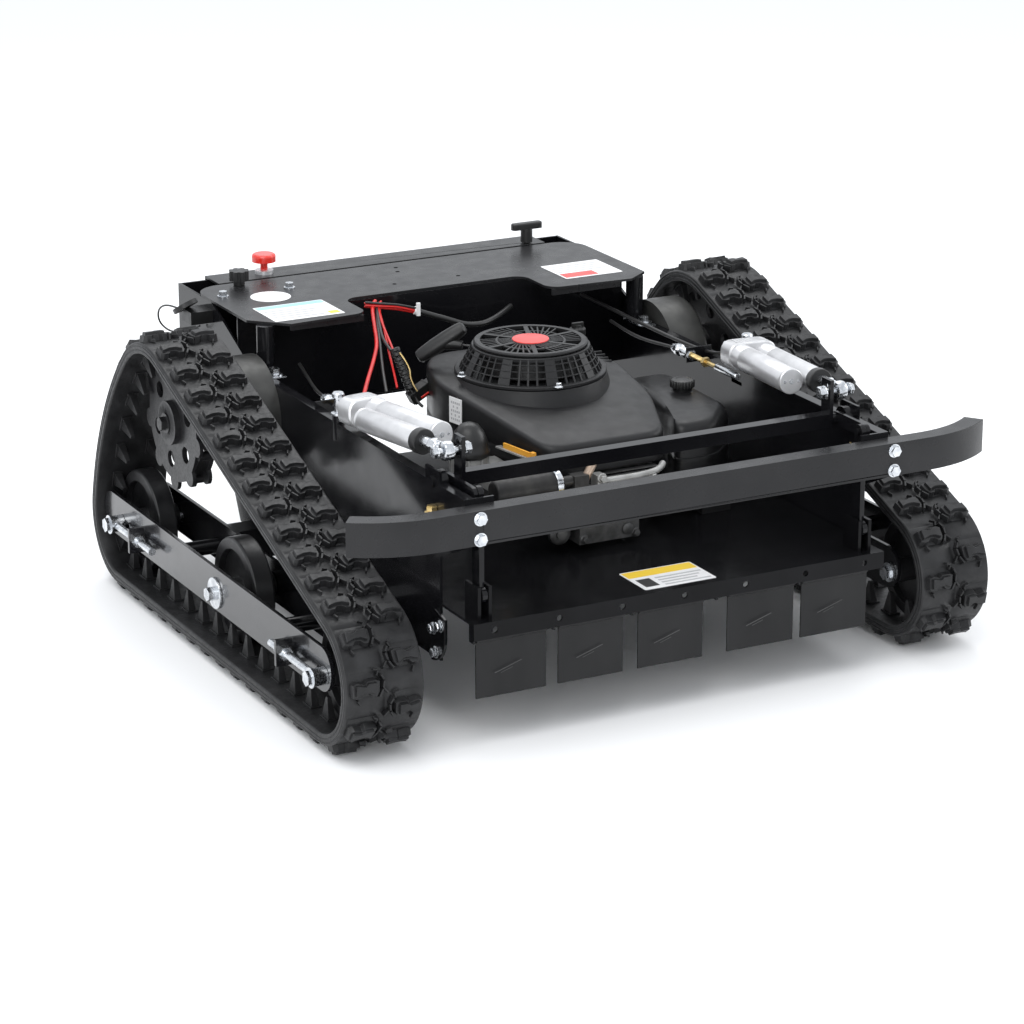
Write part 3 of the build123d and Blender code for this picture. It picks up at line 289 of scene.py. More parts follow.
def dress(piece, finish, bevel=0.0, segments=2, angle=35.0, subdivide=0):
    piece.data.materials.clear()
    piece.data.materials.append(FINISH[finish] if isinstance(finish, str) else finish)
    piece.data.shade_smooth()
    piece.data.set_sharp_from_angle(angle=math.radians(angle))
    if bevel:
        mod = piece.modifiers.new("edge", "BEVEL")
        mod.width = bevel * MM
        mod.segments = segments
        mod.limit_method = "ANGLE"
        mod.angle_limit = math.radians(angle)
        mod.harden_normals = True
    if subdivide:
        mod = piece.modifiers.new("round", "SUBSURF")
        mod.levels = mod.render_levels = subdivide


def soften(node, width=0.7):
    """Rounds the edges of a CAD node with modifiers, which leave its mesh as it is."""
    join = node.modifiers.new("join", "WELD")
    join.merge_threshold = 0.00001
    edge = node.modifiers.new("edge", "BEVEL")
    edge.width = width * MM
    edge.segments = 2
    edge.limit_method = "ANGLE"
    edge.angle_limit = math.radians(38)
    flat = node.modifiers.new("flat", "WEIGHTED_NORMAL")
    flat.weight = 100


def tube(name, points, radius, finish, body, smooth=True):
    """A round bar, pipe or lead along points in millimetres."""
    data = bpy.data.curves.new(name, "CURVE")
    data.dimensions = "3D"
    data.bevel_depth = radius * MM
    data.bevel_resolution = 4
    data.use_fill_caps = True
    spline = data.splines.new("NURBS" if smooth else "POLY")
    spline.points.add(len(points) - 1)
    for point, place in zip(spline.points, points):
        point.co = (*[c * MM for c in place], 1)
    if smooth:
        spline.order_u = 3
        spline.use_endpoint_u = True
        data.resolution_u = 10
    piece = bpy.data.objects.new(name, data)
    bpy.context.scene.collection.objects.link(piece)
    data.materials.append(FINISH[finish] if isinstance(finish, str) else finish)
    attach(piece, body)
    return piece


def hex_bolt(place, axis, flats, height, washer_r=0.0, washer_t=2.0, spin=0.0):
    """A chamfered hexagonal head on a domed flange, standing on its place."""
    matrix = frame_at(place, axis, spin)
    r = flats / math.sqrt(3)
    parts = []
    base = 0.0
    if washer_r:
        rim = [(washer_r, 0), (washer_r, washer_t * 0.5), (washer_r - 1, washer_t),
               (r * 1.02, washer_t * 1.2)]
        parts.append(placed(turned(rim, 32), matrix))
        base = washer_t
    six = [(r * math.cos(i * math.pi / 3), r * math.sin(i * math.pi / 3)) for i in range(6)]
    parts.append(placed(prism(six, base, base + height - 1.2), matrix))
    parts.append(placed(prism(six, base + height - 1.2, base + height, taper=r * 0.13), matrix))
    dimple = [(r * 0.5, base + height - 0.2), (r * 0.5, base + height + 0.25),
              (r * 0.38, base + height + 0.3)]
    parts.append(placed(turned(dimple, 20), matrix))
    return parts



# ---- rubber belts ----------------------------------------------------------------------
WHEEL_R, SPROCKET_R, BOW_R = 80.0, 110.0, 520.0
WHEEL_Z, FRONT_Y, REAR_Y = 112.0, -400.0, 358.0
SPROCKET_Y, SPROCKET_Z = 210.0, 312.0
TRACK_X = 472.0
CARCASS, LUG_HEIGHT, FIN_HEIGHT = 18.0, 14.0, 33.0
PITCHES, STEPS = 39, 14


def on_arc(centre, r, angle):
    return centre[0] + r * math.cos(angle), centre[1] + r * math.sin(angle)


def belt_runs():
    """The belt's inner surface: lines (start, end) and arcs (centre, r, start, end)."""
    r_s, r_w = BOW_R - SPROCKET_R, BOW_R - WHEEL_R
    dy, dz = REAR_Y - SPROCKET_Y, WHEEL_Z - SPROCKET_Z
    span = math.hypot(dy, dz)
    reach = (r_s**2 - r_w**2 + span**2) / (2 * span)
    off = math.sqrt(r_s**2 - reach**2)
    bow = (SPROCKET_Y + (reach * dy + off * dz) / span, SPROCKET_Z + (reach * dz - off * dy) / span)
    rear = math.atan2(WHEEL_Z - bow[1], REAR_Y - bow[0])
    top = math.atan2(SPROCKET_Z - bow[1], SPROCKET_Y - bow[0])
    dy, dz = SPROCKET_Y - FRONT_Y, SPROCKET_Z - WHEEL_Z
    crest = math.atan2(dz, dy) + math.asin((SPROCKET_R - WHEEL_R) / math.hypot(dy, dz)) + math.pi / 2
    low = -math.pi / 2
    front, sprocket = (FRONT_Y, WHEEL_Z), (SPROCKET_Y, SPROCKET_Z)
    return [
        ("line", on_arc(front, WHEEL_R, low), on_arc((REAR_Y, WHEEL_Z), WHEEL_R, low)),
        ("arc", (REAR_Y, WHEEL_Z), WHEEL_R, low, rear),
        ("arc", bow, BOW_R, rear, top),
        ("arc", sprocket, SPROCKET_R, top, crest),
        ("line", on_arc(sprocket, SPROCKET_R, crest), on_arc(front, WHEEL_R, crest)),
        ("arc", front, WHEEL_R, crest, 2 * math.pi + low),
    ]


BELT_RUNS = belt_runs()
RUN_LENGTHS = [math.dist(r[1], r[2]) if r[0] == "line" else r[2] * (r[4] - r[3]) for r in BELT_RUNS]


def belt_frame(pitches):
    """Local frame at so many pitches round the belt: X across, Y along, Z outwards."""
    s = pitches % PITCHES * sum(RUN_LENGTHS) / PITCHES
    for run, length in zip(BELT_RUNS, RUN_LENGTHS):
        if s <= length:
            break
        s -= length
    if run[0] == "line":
        (y0, z0), (y1, z1) = run[1], run[2]
        t = s / length
        y, z = y0 + (y1 - y0) * t, z0 + (z1 - z0) * t
        angle = math.atan2(-(y1 - y0), z1 - z0)
    else:
        angle = run[3] + s / run[2]
        y, z = on_arc(run[1], run[2], angle)
    out = Vector((0, math.cos(angle), math.sin(angle)))
    tangent = Vector((0, -math.sin(angle), math.cos(angle)))
    turn = Matrix((X_AXIS, tangent, out)).transposed().to_4x4()
    return Matrix.Translation((0, y, z)) @ turn


def belt_band():
    """The carcass: lips and fine lines on both edges, and shallow grooves across it."""
    half = [(60, 2.2), (60, 6), (59, 6.7), (59, 8), (60, 8.7), (60, 12), (59, 12.7), (59, 13.8),
            (60, 14.5), (59.2, 16.6), (57.4, 17.9), (53, 18), (30, 18), (4, 18), (1.5, 16.8)]
    inner = [(37, 0), (56, 0), (58.6, 0.7)]
    section = [*[(-u, n) for u, n in reversed(inner)], *inner, *half,
               *[(-u, n) for u, n in reversed(half)]]
    count, size = PITCHES * STEPS, len(section)
    points, faces = [], []
    for i in range(count):
        place = belt_frame(i / STEPS)
        groove = 1.6 if i % (STEPS // 2) == 4 else 0.0
        for u, n in section:
            deep = groove if n > 17 and abs(u) < 57 else 0.0
            points.append(tuple(place @ Vector((u, 0, n - deep))))
        for k in range(size):
            j, m = (i + 1) % count, (k + 1) % size
            faces.append((i * size + k, i * size + m, j * size + m, j * size + k))
    return points, faces


def ridge(path, width, low, high):
    """A narrow rib with a sloping crest along (across, along) points."""
    parts = []
    for (u0, t0), (u1, t1) in zip(path, path[1:]):
        length = math.hypot(u1 - u0, t1 - t0)
        nu, nt = -(t1 - t0) / length * width / 2, (u1 - u0) / length * width / 2
        outline = [(u0 + nu, t0 + nt), (u0 - nu, t0 - nt), (u1 - nu, t1 - nt), (u1 + nu, t1 + nt)]
        parts.append(prism(outline[::-1], low, high, taper=width * 0.32))
    return parts


def tread_lug():
    """A tread block with bitten corners, a hooked rib at its inner end and one behind it."""
    block = [(10, -10), (17, -13), (30, -13), (34, -9), (47, -12), (54, -9), (54, 10),
             (49, 13), (41, 13), (37, 8), (27, 8), (22, 13), (15, 13), (11, 6)]
    parts = [prism(block, CARCASS - 2, CARCASS + LUG_HEIGHT - 4.5, taper=2.2)]
    crown = [(16, -9), (29, -9.5), (34, -6), (49, -8), (50, 8), (38, 4.5), (26, 4.5), (17, 9)]
    parts.append(prism(crown, CARCASS + 6, CARCASS + LUG_HEIGHT, taper=1.6))
    parts += ridge([(13, 15), (6, 3), (4, -9), (9, -18)], 3.4, CARCASS - 1, CARCASS + 8.5)
    parts += ridge([(5, 2), (-3, 12)], 2.8, CARCASS - 1, CARCASS + 6)
    parts += ridge([(14, -15), (11, -23), (19, -26)], 2.6, CARCASS - 1, CARCASS + 4.5)
    parts += ridge([(44, 15), (40, 24)], 2.8, CARCASS - 1, CARCASS + 4.5)
    return parts


def mirrored(parts):
    return [([(-x, y, z) for x, y, z in p], [tuple(reversed(f)) for f in fs]) for p, fs in parts]


def guide_fin():
    base = [(19, -12), (32, -12), (32, 12), (19, 12)]
    tip = [(22.5, -2.6), (28.5, -2.6), (28.5, 2.6), (22.5, 2.6)]
    points = [(u, t, 2.0) for u, t in base] + [(u, t, -FIN_HEIGHT) for u, t in tip]
    faces = [(0, 1, 2, 3), (7, 6, 5, 4)]
    faces += [(i, 4 + i, 4 + (i + 1) % 4, (i + 1) % 4) for i in range(4)]
    foot = prism([(16.5, -14), (34, -14), (34, 14), (16.5, 14)], -2.4, 2.0)
    return [(points, faces), foot]


def belt(side):
    sign = 1 if side == "right" else -1
    shift = Matrix.Translation((sign * TRACK_X, 0, 0))
    parts = [placed(belt_band(), shift)]
    lug, fin = tread_lug(), guide_fin()
    for row, phase in ((1, 0.1), (-1, 0.6)):
        shape = lug if row == 1 else mirrored(lug)
        for i in range(PITCHES):
            parts += [placed(p, shift @ belt_frame(i + phase)) for p in shape]
    for shape in (fin, mirrored(fin)):
        for i in range(PITCHES):
            parts += [placed(p, shift @ belt_frame(i + 0.62)) for p in shape]
    build(f"belt_{side}", parts, "track_rubber", "chassis",
          replaces=[f"track_belt_{side}"], bevel=0.9, angle=28)


# ---- engine covers ---------------------------------------------------------------------
CRANK_Y = -33.0
COWL_TOP_Z = 391.0
RECOIL_TOP_Z, RECOIL_BASE_R, RECOIL_TOP_R = 440.0, 112.0, 86.0


def cone_r(z):
    k = (z - COWL_TOP_Z) / (RECOIL_TOP_Z - COWL_TOP_Z)
    return RECOIL_BASE_R + (RECOIL_TOP_R - RECOIL_BASE_R) * k


def ring(r0, r1, z0, z1, edge=1.2, steps=72):
    """A flat ring with rounded edges about the crankshaft's axis."""
    loop = [(r0, z0), (r1 - edge, z0), (r1, z0 + edge), (r1, z1 - edge), (r1 - edge, z1), (r0, z1)]
    points, faces = [], []
    for r, z in loop:
        for i in range(steps):
            a = 2 * math.pi * i / steps
            points.append((r * math.cos(a), CRANK_Y + r * math.sin(a), z))
    size = len(loop)
    for k in range(size):
        for i in range(steps):
            j, m = (i + 1) % steps, (k + 1) % size
            faces.append((k * steps + i, k * steps + j, m * steps + j, m * steps + i))
    return points, faces


def radial_bar(angle, r0, r1, skew, width, z0, z1):
    """A flat bar in the top grille, turned by skew degrees from the radius."""
    place = (Matrix.Translation((0, CRANK_Y, 0)) @ Matrix.Rotation(math.radians(angle), 4, "Z")
             @ Matrix.Translation((r0, 0, 0)) @ Matrix.Rotation(math.radians(skew), 4, "Z"))
    length = (r1 - r0) / math.cos(math.radians(skew)) * 1.02
    return placed(cuboid(0, length, -width / 2, width / 2, z0, z1), place)


def cone_bar(angle, width, z0, z1, depth=4.0):
    """An upright bar that lies on the cover's sloping side, width in degrees."""
    points = []
    for z in (z0, z1):
        for a in (angle - width / 2, angle + width / 2):
            for r in (cone_r(z) - depth, cone_r(z)):
                t = math.radians(a)
                points.append((r * math.cos(t), CRANK_Y + r * math.sin(t), z))
    return points, [(0, 2, 3, 1), (4, 5, 7, 6), (1, 3, 7, 5), (0, 4, 6, 2), (0, 1, 5, 4), (2, 6, 7, 3)]


def recoil():
    top, low = RECOIL_TOP_Z, COWL_TOP_Z
    parts = [ring(cone_r(low) - 6, cone_r(low) + 4, low, low + 6),
             ring(RECOIL_TOP_R - 9, RECOIL_TOP_R + 1, top - 6, top, 2.0),
             ring(RECOIL_TOP_R - 5, RECOIL_TOP_R + 4.5, top - 13, top - 6),
             ring(50, 54, top - 5, top - 0.6), ring(0.5, 31, top - 6, top, 2.0)]
    for z in (low + 14, low + 23, low + 32):
        parts.append(ring(cone_r(z) - 3.5, cone_r(z) - 0.6, z, z + 2.2, 0.5))
    for i in range(9):
        parts.append(cone_bar(i * 40 + 20, 10, low + 4, top - 8, 5.0))
        for k in range(3):
            parts.append(cone_bar(i * 40 + 32.5 + k * 7.5, 1.7, low + 4, top - 8))
    for i in range(6):
        parts.append(radial_bar(i * 60 + 8, 30, 79, 0, 7, top - 5, top - 0.3))
        for k in range(6):
            parts.append(radial_bar(i * 60 + 17 + k * 7.6, 31, 79, 24, 2.6, top - 6, top - 0.8))
    build("recoil_cage", parts, "cowl_plastic", "deck",
          replaces=["recoil_cover"], bevel=0.5, segments=2)
    drum = along((0, CRANK_Y, low + 1), Z_AXIS, [(70, 0), (76, 4), (72, 30), (60, 34)], 48)
    build("recoil_pulley_housing", [drum], "knob_plastic", "deck", bevel=0.5)
    bolts = []
    for angle in (-97, 178, 100, 45):
        t = math.radians(angle)
        x, y = (RECOIL_BASE_R + 3) * math.cos(t), CRANK_Y + (RECOIL_BASE_R + 3) * math.sin(t)
        bolts += hex_bolt((x, y, low + 5), Z_AXIS, 8, 5, 7.5, 1.6, spin=angle)
    build("recoil_bolts", bolts, "zinc", "deck", bevel=0.2)
    badge = placed(turned([(1, 0), (1, 1.6), (0.93, 2.2)], 56),
                   Matrix.Translation((0, CRANK_Y, top - 0.2)) @ Matrix.Diagonal((28, 28, 1, 1)))
    build("cover_badge", [badge], LABEL_RED, "deck", bevel=0.3)


COWL_FRONT_Z, COWL_EDGE_Z = 345.0, 389.0
COWL_PLAN = [(-97, -272), (100, -272), (150, -140), (158, -20), (112, 90), (66, 132),
             (-84, 132), (-122, 84), (-146, 0), (-120, -140)]


def rounded_plan(points, reach, steps=5, scale=1.0, mid=(0, -90), grow=0.0):
    """A closed outline with its corners rounded, scaled about mid."""
    out = []
    n = len(points)
    for i in range(n):
        p, q, r = (Vector(points[(i + k) % n]) for k in (-1, 0, 1))
        a = q + (p - q).normalized() * min(reach, (p - q).length / 2.1)
        b = q + (r - q).normalized() * min(reach, (r - q).length / 2.1)
        for k in range(steps + 1):
            t = k / steps
            out.append(a * (1 - t)**2 + q * 2 * t * (1 - t) + b * t * t)
    middle = Vector(mid)
    scaled = []
    for p in out:
        d = (p - middle) * scale
        scaled.append(middle + d + d.normalized() * grow)
    return [(p.x, p.y) for p in scaled]


def skin(loops, close_top=True, close_low=True):
    """A closed skin through loops of equal size, each a list of (x, y, z)."""
    size = len(loops[0])
    points = [p for loop in loops for p in loop]
    faces = []
    for k in range(len(loops) - 1):
        for i in range(size):
            j = (i + 1) % size
            faces.append((k * size + i, k * size + j, (k + 1) * size + j, (k + 1) * size + i))
    if close_low:
        faces.append(tuple(reversed(range(size))))
    if close_top:
        faces.append(tuple(range((len(loops) - 1) * size, len(loops) * size)))
    return points, faces


def cowl_edge_z(y):
    """The height of the cowl's top edge, which slopes down to the front."""
    k = min(1.0, max(0.0, (y + 272) / 292))
    return COWL_FRONT_Z + (COWL_EDGE_Z - COWL_FRONT_Z) * k


def cowl():
    """Upright sides, a rounded edge and a gently crowned top up to the starter cover."""
    sides = [(0.985, None, 300), (1.0, None, 301), (1.0, None, 318), (0.992, None, 320),
             (0.992, None, 322), (1.0, None, 324)]
    crown = [(1.0, -9), (0.998, -6.5), (0.99, -3), (0.972, -0.8), (0.95, 0.2), (0.9, 1.5), (0.84, 3.2),
             (0.78, 5)]
    loops = []
    for scale, rise, z in [*sides, *[(k, up, 0) for k, up in crown]]:
        plan = rounded_plan(COWL_PLAN, 30, 6, scale)
        loops.append([(x, y, z if rise is None else min(cowl_edge_z(y) + rise, COWL_TOP_Z - 0.5))
                      for x, y in plan])
    collar = along((0, CRANK_Y, 345), Z_AXIS, [(128, 0), (124, 22), (119, 36), (116, 45.5)], 64)
    parts = [skin(loops), collar]
    for i in range(4):
        slot = cuboid(-13, 13, -1.6, 1.6, -3, 1)
        place = Matrix.Translation((137 - i * 0.8, 16 - i * 12, cowl_edge_z(16 - i * 12) + 1.2))
        parts.append(placed(slot, place @ Matrix.Rotation(math.radians(-8), 4, "Z")))
    build("engine_shroud", parts, "cowl_plastic", "deck",
          replaces=["engine_cowl"], bevel=0.6, angle=40)
    label = placed(cuboid(-1, 0, -15, 15, -20, 20),
                   Matrix.Translation((-139, -56, 352)) @ Matrix.Rotation(math.radians(11), 4, "Z"))
    build("shroud_label", [label], SOFT_WHITE, "deck")
    marks = []
    for row in range(5):
        for column in range(5):
            if (row * 3 + column * 2) % 4 != 1:
                marks.append(placed(cuboid(-1.2, -0.9, -11 + column * 4.6, -8 + column * 4.6,
                                           -15 + row * 6.4, -11.5 + row * 6.4),
                                    Matrix.Translation((-139, -56, 352))
                                    @ Matrix.Rotation(math.radians(11), 4, "Z")))
    build("shroud_label_marks", marks, LABEL_GREY, "deck")


def engine_front():
    """The breather dome and its casting, the carburettor side and the exhaust's neighbours."""
    dome = along((-172, -165, 318), Z_AXIS,
                 [(30, 0), (31, 2), (31, 8), (29, 11), (27, 22), (22, 36), (14, 46), (5, 50)], 40)
    build("breather_dome", [dome], "knob_plastic", "deck", bevel=0.5)
    casting = [along((-172, -165, 292), Z_AXIS, [(27, 0), (27, 24), (25, 26)], 40),
               cuboid(-190, -120, -186, -146, 282, 304), cuboid(-168, -98, -222, -186, 276, 300)]
    casting += [along((-172 + 26 * math.cos(a), -165 + 26 * math.sin(a), 290), Z_AXIS,
                      [(3.4, 0), (3.4, 26), (2.6, 27)], 12) for a in (2.6, 3.4, 4.2, 5.0, 5.8)]
    build("breather_casting", casting, CAST_ALLOY, "deck", bevel=1.2)
    arm = [cuboid(-1.6, 1.6, -36, 36, -4, 4), cuboid(-3, 3, -38, -30, -6, 6)]
    place = Matrix.Translation((-115, -213, 329)) @ Matrix.Rotation(math.radians(10), 4, "Z")
    build("governor_tag", [placed(p, place) for p in arm], ORANGE, "deck", bevel=0.4)
    link = placed(cuboid(-5, 5, -50, 50, -7, -4), place)
    build("governor_arm", [link], CAST_ALLOY, "deck", bevel=0.6)
    tube("exhaust_link_pipe", [(-60, -296, 282), (-56, -300, 292), (-48, -303, 312),
                               (-38, -303, 328), (-30, -290, 334)],
         6.5, PIPE_TAN, "deck")
    tube("fuel_return_pipe", [(-20, -296, 292), (0, -302, 294), (40, -303, 294),
                              (76, -300, 297), (88, -284, 300)],
         5.0, CAST_ALLOY, "deck")
    gasket = [cuboid(-34, -20, -306, -286, 282, 304), *hex_bolt((-27, -306, 300), -Y_AXIS, 10, 6, 8),
              *hex_bolt((60, -303, 290), -Y_AXIS, 8, 5, 7)]
    build("exhaust_gasket", gasket, CAST_ALLOY, "deck", bevel=0.8)
    clamp = along((-108, -303, 303), X_AXIS, [(19.4, 0), (20.2, 1), (20.2, 9), (19.4, 10)], 40)
    build("silencer_clamp", [clamp, *hex_bolt((-103, -303, 323), Z_AXIS, 8, 8)], "zinc", "deck",
          bevel=0.3)
    sump = [cuboid(-110, 60, -292, -262, 228, 262), cuboid(-60, 40, -300, -262, 200, 226),
            along((-91, -290, 222), -Y_AXIS, [(17, 0), (17, 8), (14, 10), (8, 10), (8, 14), (3, 14.5)], 32),
            along((20, -298, 214), -Y_AXIS, [(9, 0), (9, 5), (7, 6)], 24)]
    for x, z in ((-100, 256), (-40, 256), (20, 256), (52, 236), (-52, 208), (34, 206)):
        sump += hex_bolt((x, -292 if z > 230 else -300, z), -Y_AXIS, 9, 5, 7, 1.6)
    build("engine_sump", sump, "engine_alloy", "deck", bevel=1.4)
    fins = []
    for i in range(8):
        z = 262 + i * 4.6
        fins.append(cuboid(-84, 84, -276 - (i % 2), -262, z, z + 1.8))
    build("cylinder_fins", fins, "engine_alloy", "deck", bevel=0.4)


def starter():
    """The T grip, whose bar is thick and tapers to its ends, and its stem and rope."""
    middle = Vector((-104, 62, 425))
    bar, pull = Vector((0.726, -0.381, 0.57)).normalized(), Vector((-0.72, 0.69, 0.05)).normalized()
    up = pull.cross(bar).normalized()
    turn = Matrix((up, bar.cross(up), bar)).transposed().to_4x4()
    place = Matrix.Translation(middle) @ turn
    loops = []
    for along_bar, grow in ((-43, -4), (-41, -1), (-34, 0.6), (-12, 2),
                            (12, 2), (34, 0.6), (41, -1), (43, -4)):
        plan = rounded_plan([(-11, -10), (11, -10), (11, 10), (-11, 10)], 8, 4, 1.0, (0, 0), grow)
        loops.append([(x, y, along_bar) for x, y in plan])
    grip = placed(skin(loops), place)
    stem = along(tuple(middle - pull * 8), tuple(-pull), [(11, 0), (9.5, 8), (7.5, 20), (6, 26)], 24)
    build("grip_handle", [grip, stem], "knob_plastic", "starter_grip", angle=40)
    tube("grip_rope", [tuple(middle - pull * 20), tuple(middle - pull * 60),
                       tuple(middle - pull * 120)], 2.0,
         WIRE_BLACK, "starter_grip")
    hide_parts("starter_grip")


TANK_PLAN = [(128, -255), (196, -255), (262, -190), (264, 5), (252, 18), (186, 18), (178, -60),
             (152, -190)]


def tank():
    mid = (205, -110)
    levels = [(240, -10), (243, -4), (250, 0), (284, 0), (285, 3), (290, 3), (291, 0), (322, 0),
              (333, -3), (340, -9), (344, -19)]
    loops = [[(x, y, z) for x, y in rounded_plan(TANK_PLAN, 26, 6, 1.0, mid, grow)]
             for z, grow in levels]
    neck = along((230, -97, 338), Z_AXIS, [(24, 0), (20, 5), (15, 7), (15, 12)], 40)
    feet = [cuboid(190, 240, y, y + 16, 189, 243) for y in (-230, -20)]
    build("tank_shell", [skin(loops), neck, *feet], "tank_plastic", "deck",
          replaces=["fuel_tank"], angle=40)
    ribs = [along((230 + 17 * math.cos(a), -97 + 17 * math.sin(a), 351), Z_AXIS,
                  [(2.2, 0), (2.4, 9), (1.4, 11)], 10) for a in [i * math.pi / 10 for i in range(20)]]
    cap = along((230, -97, 350), Z_AXIS, [(17, 0), (18, 2), (18, 9), (16, 12), (10, 13.5), (9, 12.6)], 48)
    build("tank_cap_ribbed", [cap, *ribs], "knob_plastic", "fuel_cap",
          replaces=["fuel_cap"], bevel=0.3)
    dip = along((152, 96, 396), Z_AXIS, [(13, 0), (13, 10), (11, 12), (6, 12.5), (6, 16)], 32)
    build("dipstick_cap", [dip,
                           placed(cuboid(-10, 10, -2.5, 2.5, 408, 416), Matrix.Translation((152, 96, 0)))],
          "knob_plastic", "oil_cap", replaces=["oil_cap"], bevel=0.8)


# ---- lift actuators and tie rods --------------------------------------------------------
EYE = Vector((323, -393, 409))
SLANT, DIP = math.radians(6.5), 0.045      # rear ends outwards and a little down
ROD_MID_Z, SIDE_INNER_X = 366.0, 342.0


def both(side, parts):
    return parts if side == "right" else mirrored(parts)


def actuator(side):
    """A rod tube with a black collar, a motor beside it, and a rounded gear head behind both."""
    tube_length, head_out, tail_x = (150, 4, -20) if side == "left" else (192, 18, 0)
    back = Vector((math.sin(SLANT), math.cos(SLANT), -DIP)).normalized()
    out = Vector((math.cos(SLANT), -math.sin(SLANT), 0))
    place = Matrix.Translation(EYE) @ Matrix((out, back.cross(out), back)).transposed().to_4x4()

    def barrel(dx, start, profile, steps=56):
        return placed(turned(profile, steps), place @ Matrix.Translation((dx, 0, start)))

    rod_tube = [(16.6, 0), (17.4, 0.8), (17.4, 140), (16.9, 141), (16.9, 144), (17.4, 145),
                (17.4, tube_length - 3), (15, tube_length)]
    motor = [(7, -0.6), (18.4, 0), (19.5, 1.2), (19.5, 5), (19.1, 5.6), (19.1, 6.6),
             (19.5, 7.2), (19.5, 150),
             (19.0, 151), (19.0, 153), (19.5, 154), (19.5, 182)]
    corners = [(-62, 21), (head_out, 21), (head_out, -21), (-62, -21)]
    middle = ((head_out - 62) / 2, 0)
    outline = rounded_plan(corners, 19, 6, 1.0, middle)
    small = rounded_plan(corners, 19, 6, 1.0, middle, -2.5)
    loops = [[(x, y, z) for x, y in loop] for loop, z in
             ((small, 252), (outline, 254.5), (outline, 285), (small, 288))]
    head = placed(skin([loop[::-1] for loop in loops]), place)
    tail = [barrel(tail_x, 286, [(8, 0), (8, 12), (11, 13), (11, 26), (8, 28)]),
            barrel(-40, 287, [(10, 0), (10, 3), (7, 5)])]
    body = [barrel(-1, 74, rod_tube), barrel(-41, 76, motor), head, *tail]
    for face_z in (-21, 21):
        body += [placed(cuboid(-46 + k * 6, -43 + k * 6, face_z - 0.7, face_z + 0.7, 259, 281), place)
                 for k in range(5)]
    build(f"actuator_shell_{side}", both(side, body), "alloy", "chassis",
          replaces=[f"actuator_body_{side}"], bevel=0.5)
    collar = barrel(-1, 58, [(12, 0), (17.6, 0.6), (18.6, 2), (18.6, 14), (17.6, 16), (17.6, 17)])
    build(f"actuator_collar_{side}", both(side, [collar]), "knob_plastic", "chassis", bevel=0.3)
    screws = [barrel(-41, 75.2, [(4.2, 0), (4.2, 1.4)], 20), barrel(-30, 75.4, [(2.4, 0), (2.4, 1.0)], 16),
              barrel(-52, 75.4, [(2.4, 0), (2.4, 1.0)], 16)]
    for dx, dy in ((-52, 15), (-52, -15), (head_out - 8, 15), (head_out - 8, -15)):
        screws.append(placed(turned([(3.2, 0), (3.2, 2.4), (2.6, 3)], 6),
                             place @ Matrix.Translation((dx, dy, 288))))
    rear = EYE + back * 322 + out * tail_x
    screws.append(along(tuple(rear + Vector((0, 0, -16))), Z_AXIS,
                        [(11, 0), (11, 3), (6, 3.5), (6, 26), (9, 26.4), (9, 32), (7.5, 34)], 24))
    build(f"actuator_screws_{side}", both(side, screws), "zinc", "chassis", bevel=0.3)
    post = along((rear.x, rear.y, 340), Z_AXIS, [(9, 0), (9, rear.z - 354)], 24)
    foot = cuboid(rear.x - 16, SIDE_INNER_X, rear.y - 16, rear.y + 16, 333, 340)
    build(f"actuator_foot_{side}", both(side, [post, foot]), "frame_paint", "chassis",
          bevel=0.8)


ROD_SLANT = math.radians(7.5)    # the rod's slant, its rear end outwards


def rod_eye(side):
    """The rod with its ring eye, the pin through the lever's long hole, and the pin's nut."""
    body = f"actuator_rod_{side}"
    back = (math.sin(ROD_SLANT), math.cos(ROD_SLANT), 0)
    ring_profile = [(5.5, -9), (9, -9), (13, -7), (14, -4), (14, 4), (13, 7), (9, 9), (5.5, 9)]
    eye = along(tuple(EYE), X_AXIS, ring_profile, 40)
    shank = along(tuple(EYE + Vector(back) * 12), back,
                  [(7, 0), (7, 8), (9, 10), (9, 20), (7.6, 21), (7.6, 118)], 32)
    nut = placed(turned([(9.8, 0), (10.4, 1), (10.4, 7), (9.8, 8)], 6),
                 frame_at(tuple(EYE + Vector(back) * 30), back))
    pin = along((293, EYE.y, EYE.z), X_AXIS, [(5, 0), (5, 46), (4.4, 47)], 24)
    ends = (hex_bolt((338, EYE.y, EYE.z), X_AXIS, 15, 6, 9.5, 2)
            + hex_bolt((298, EYE.y, EYE.z), -X_AXIS, 17, 9, 10, 2))
    build(f"rod_end_{side}", both(side, [eye, shank, nut, pin, *ends]), "zinc", body,
          replaces=[body], bevel=0.4)


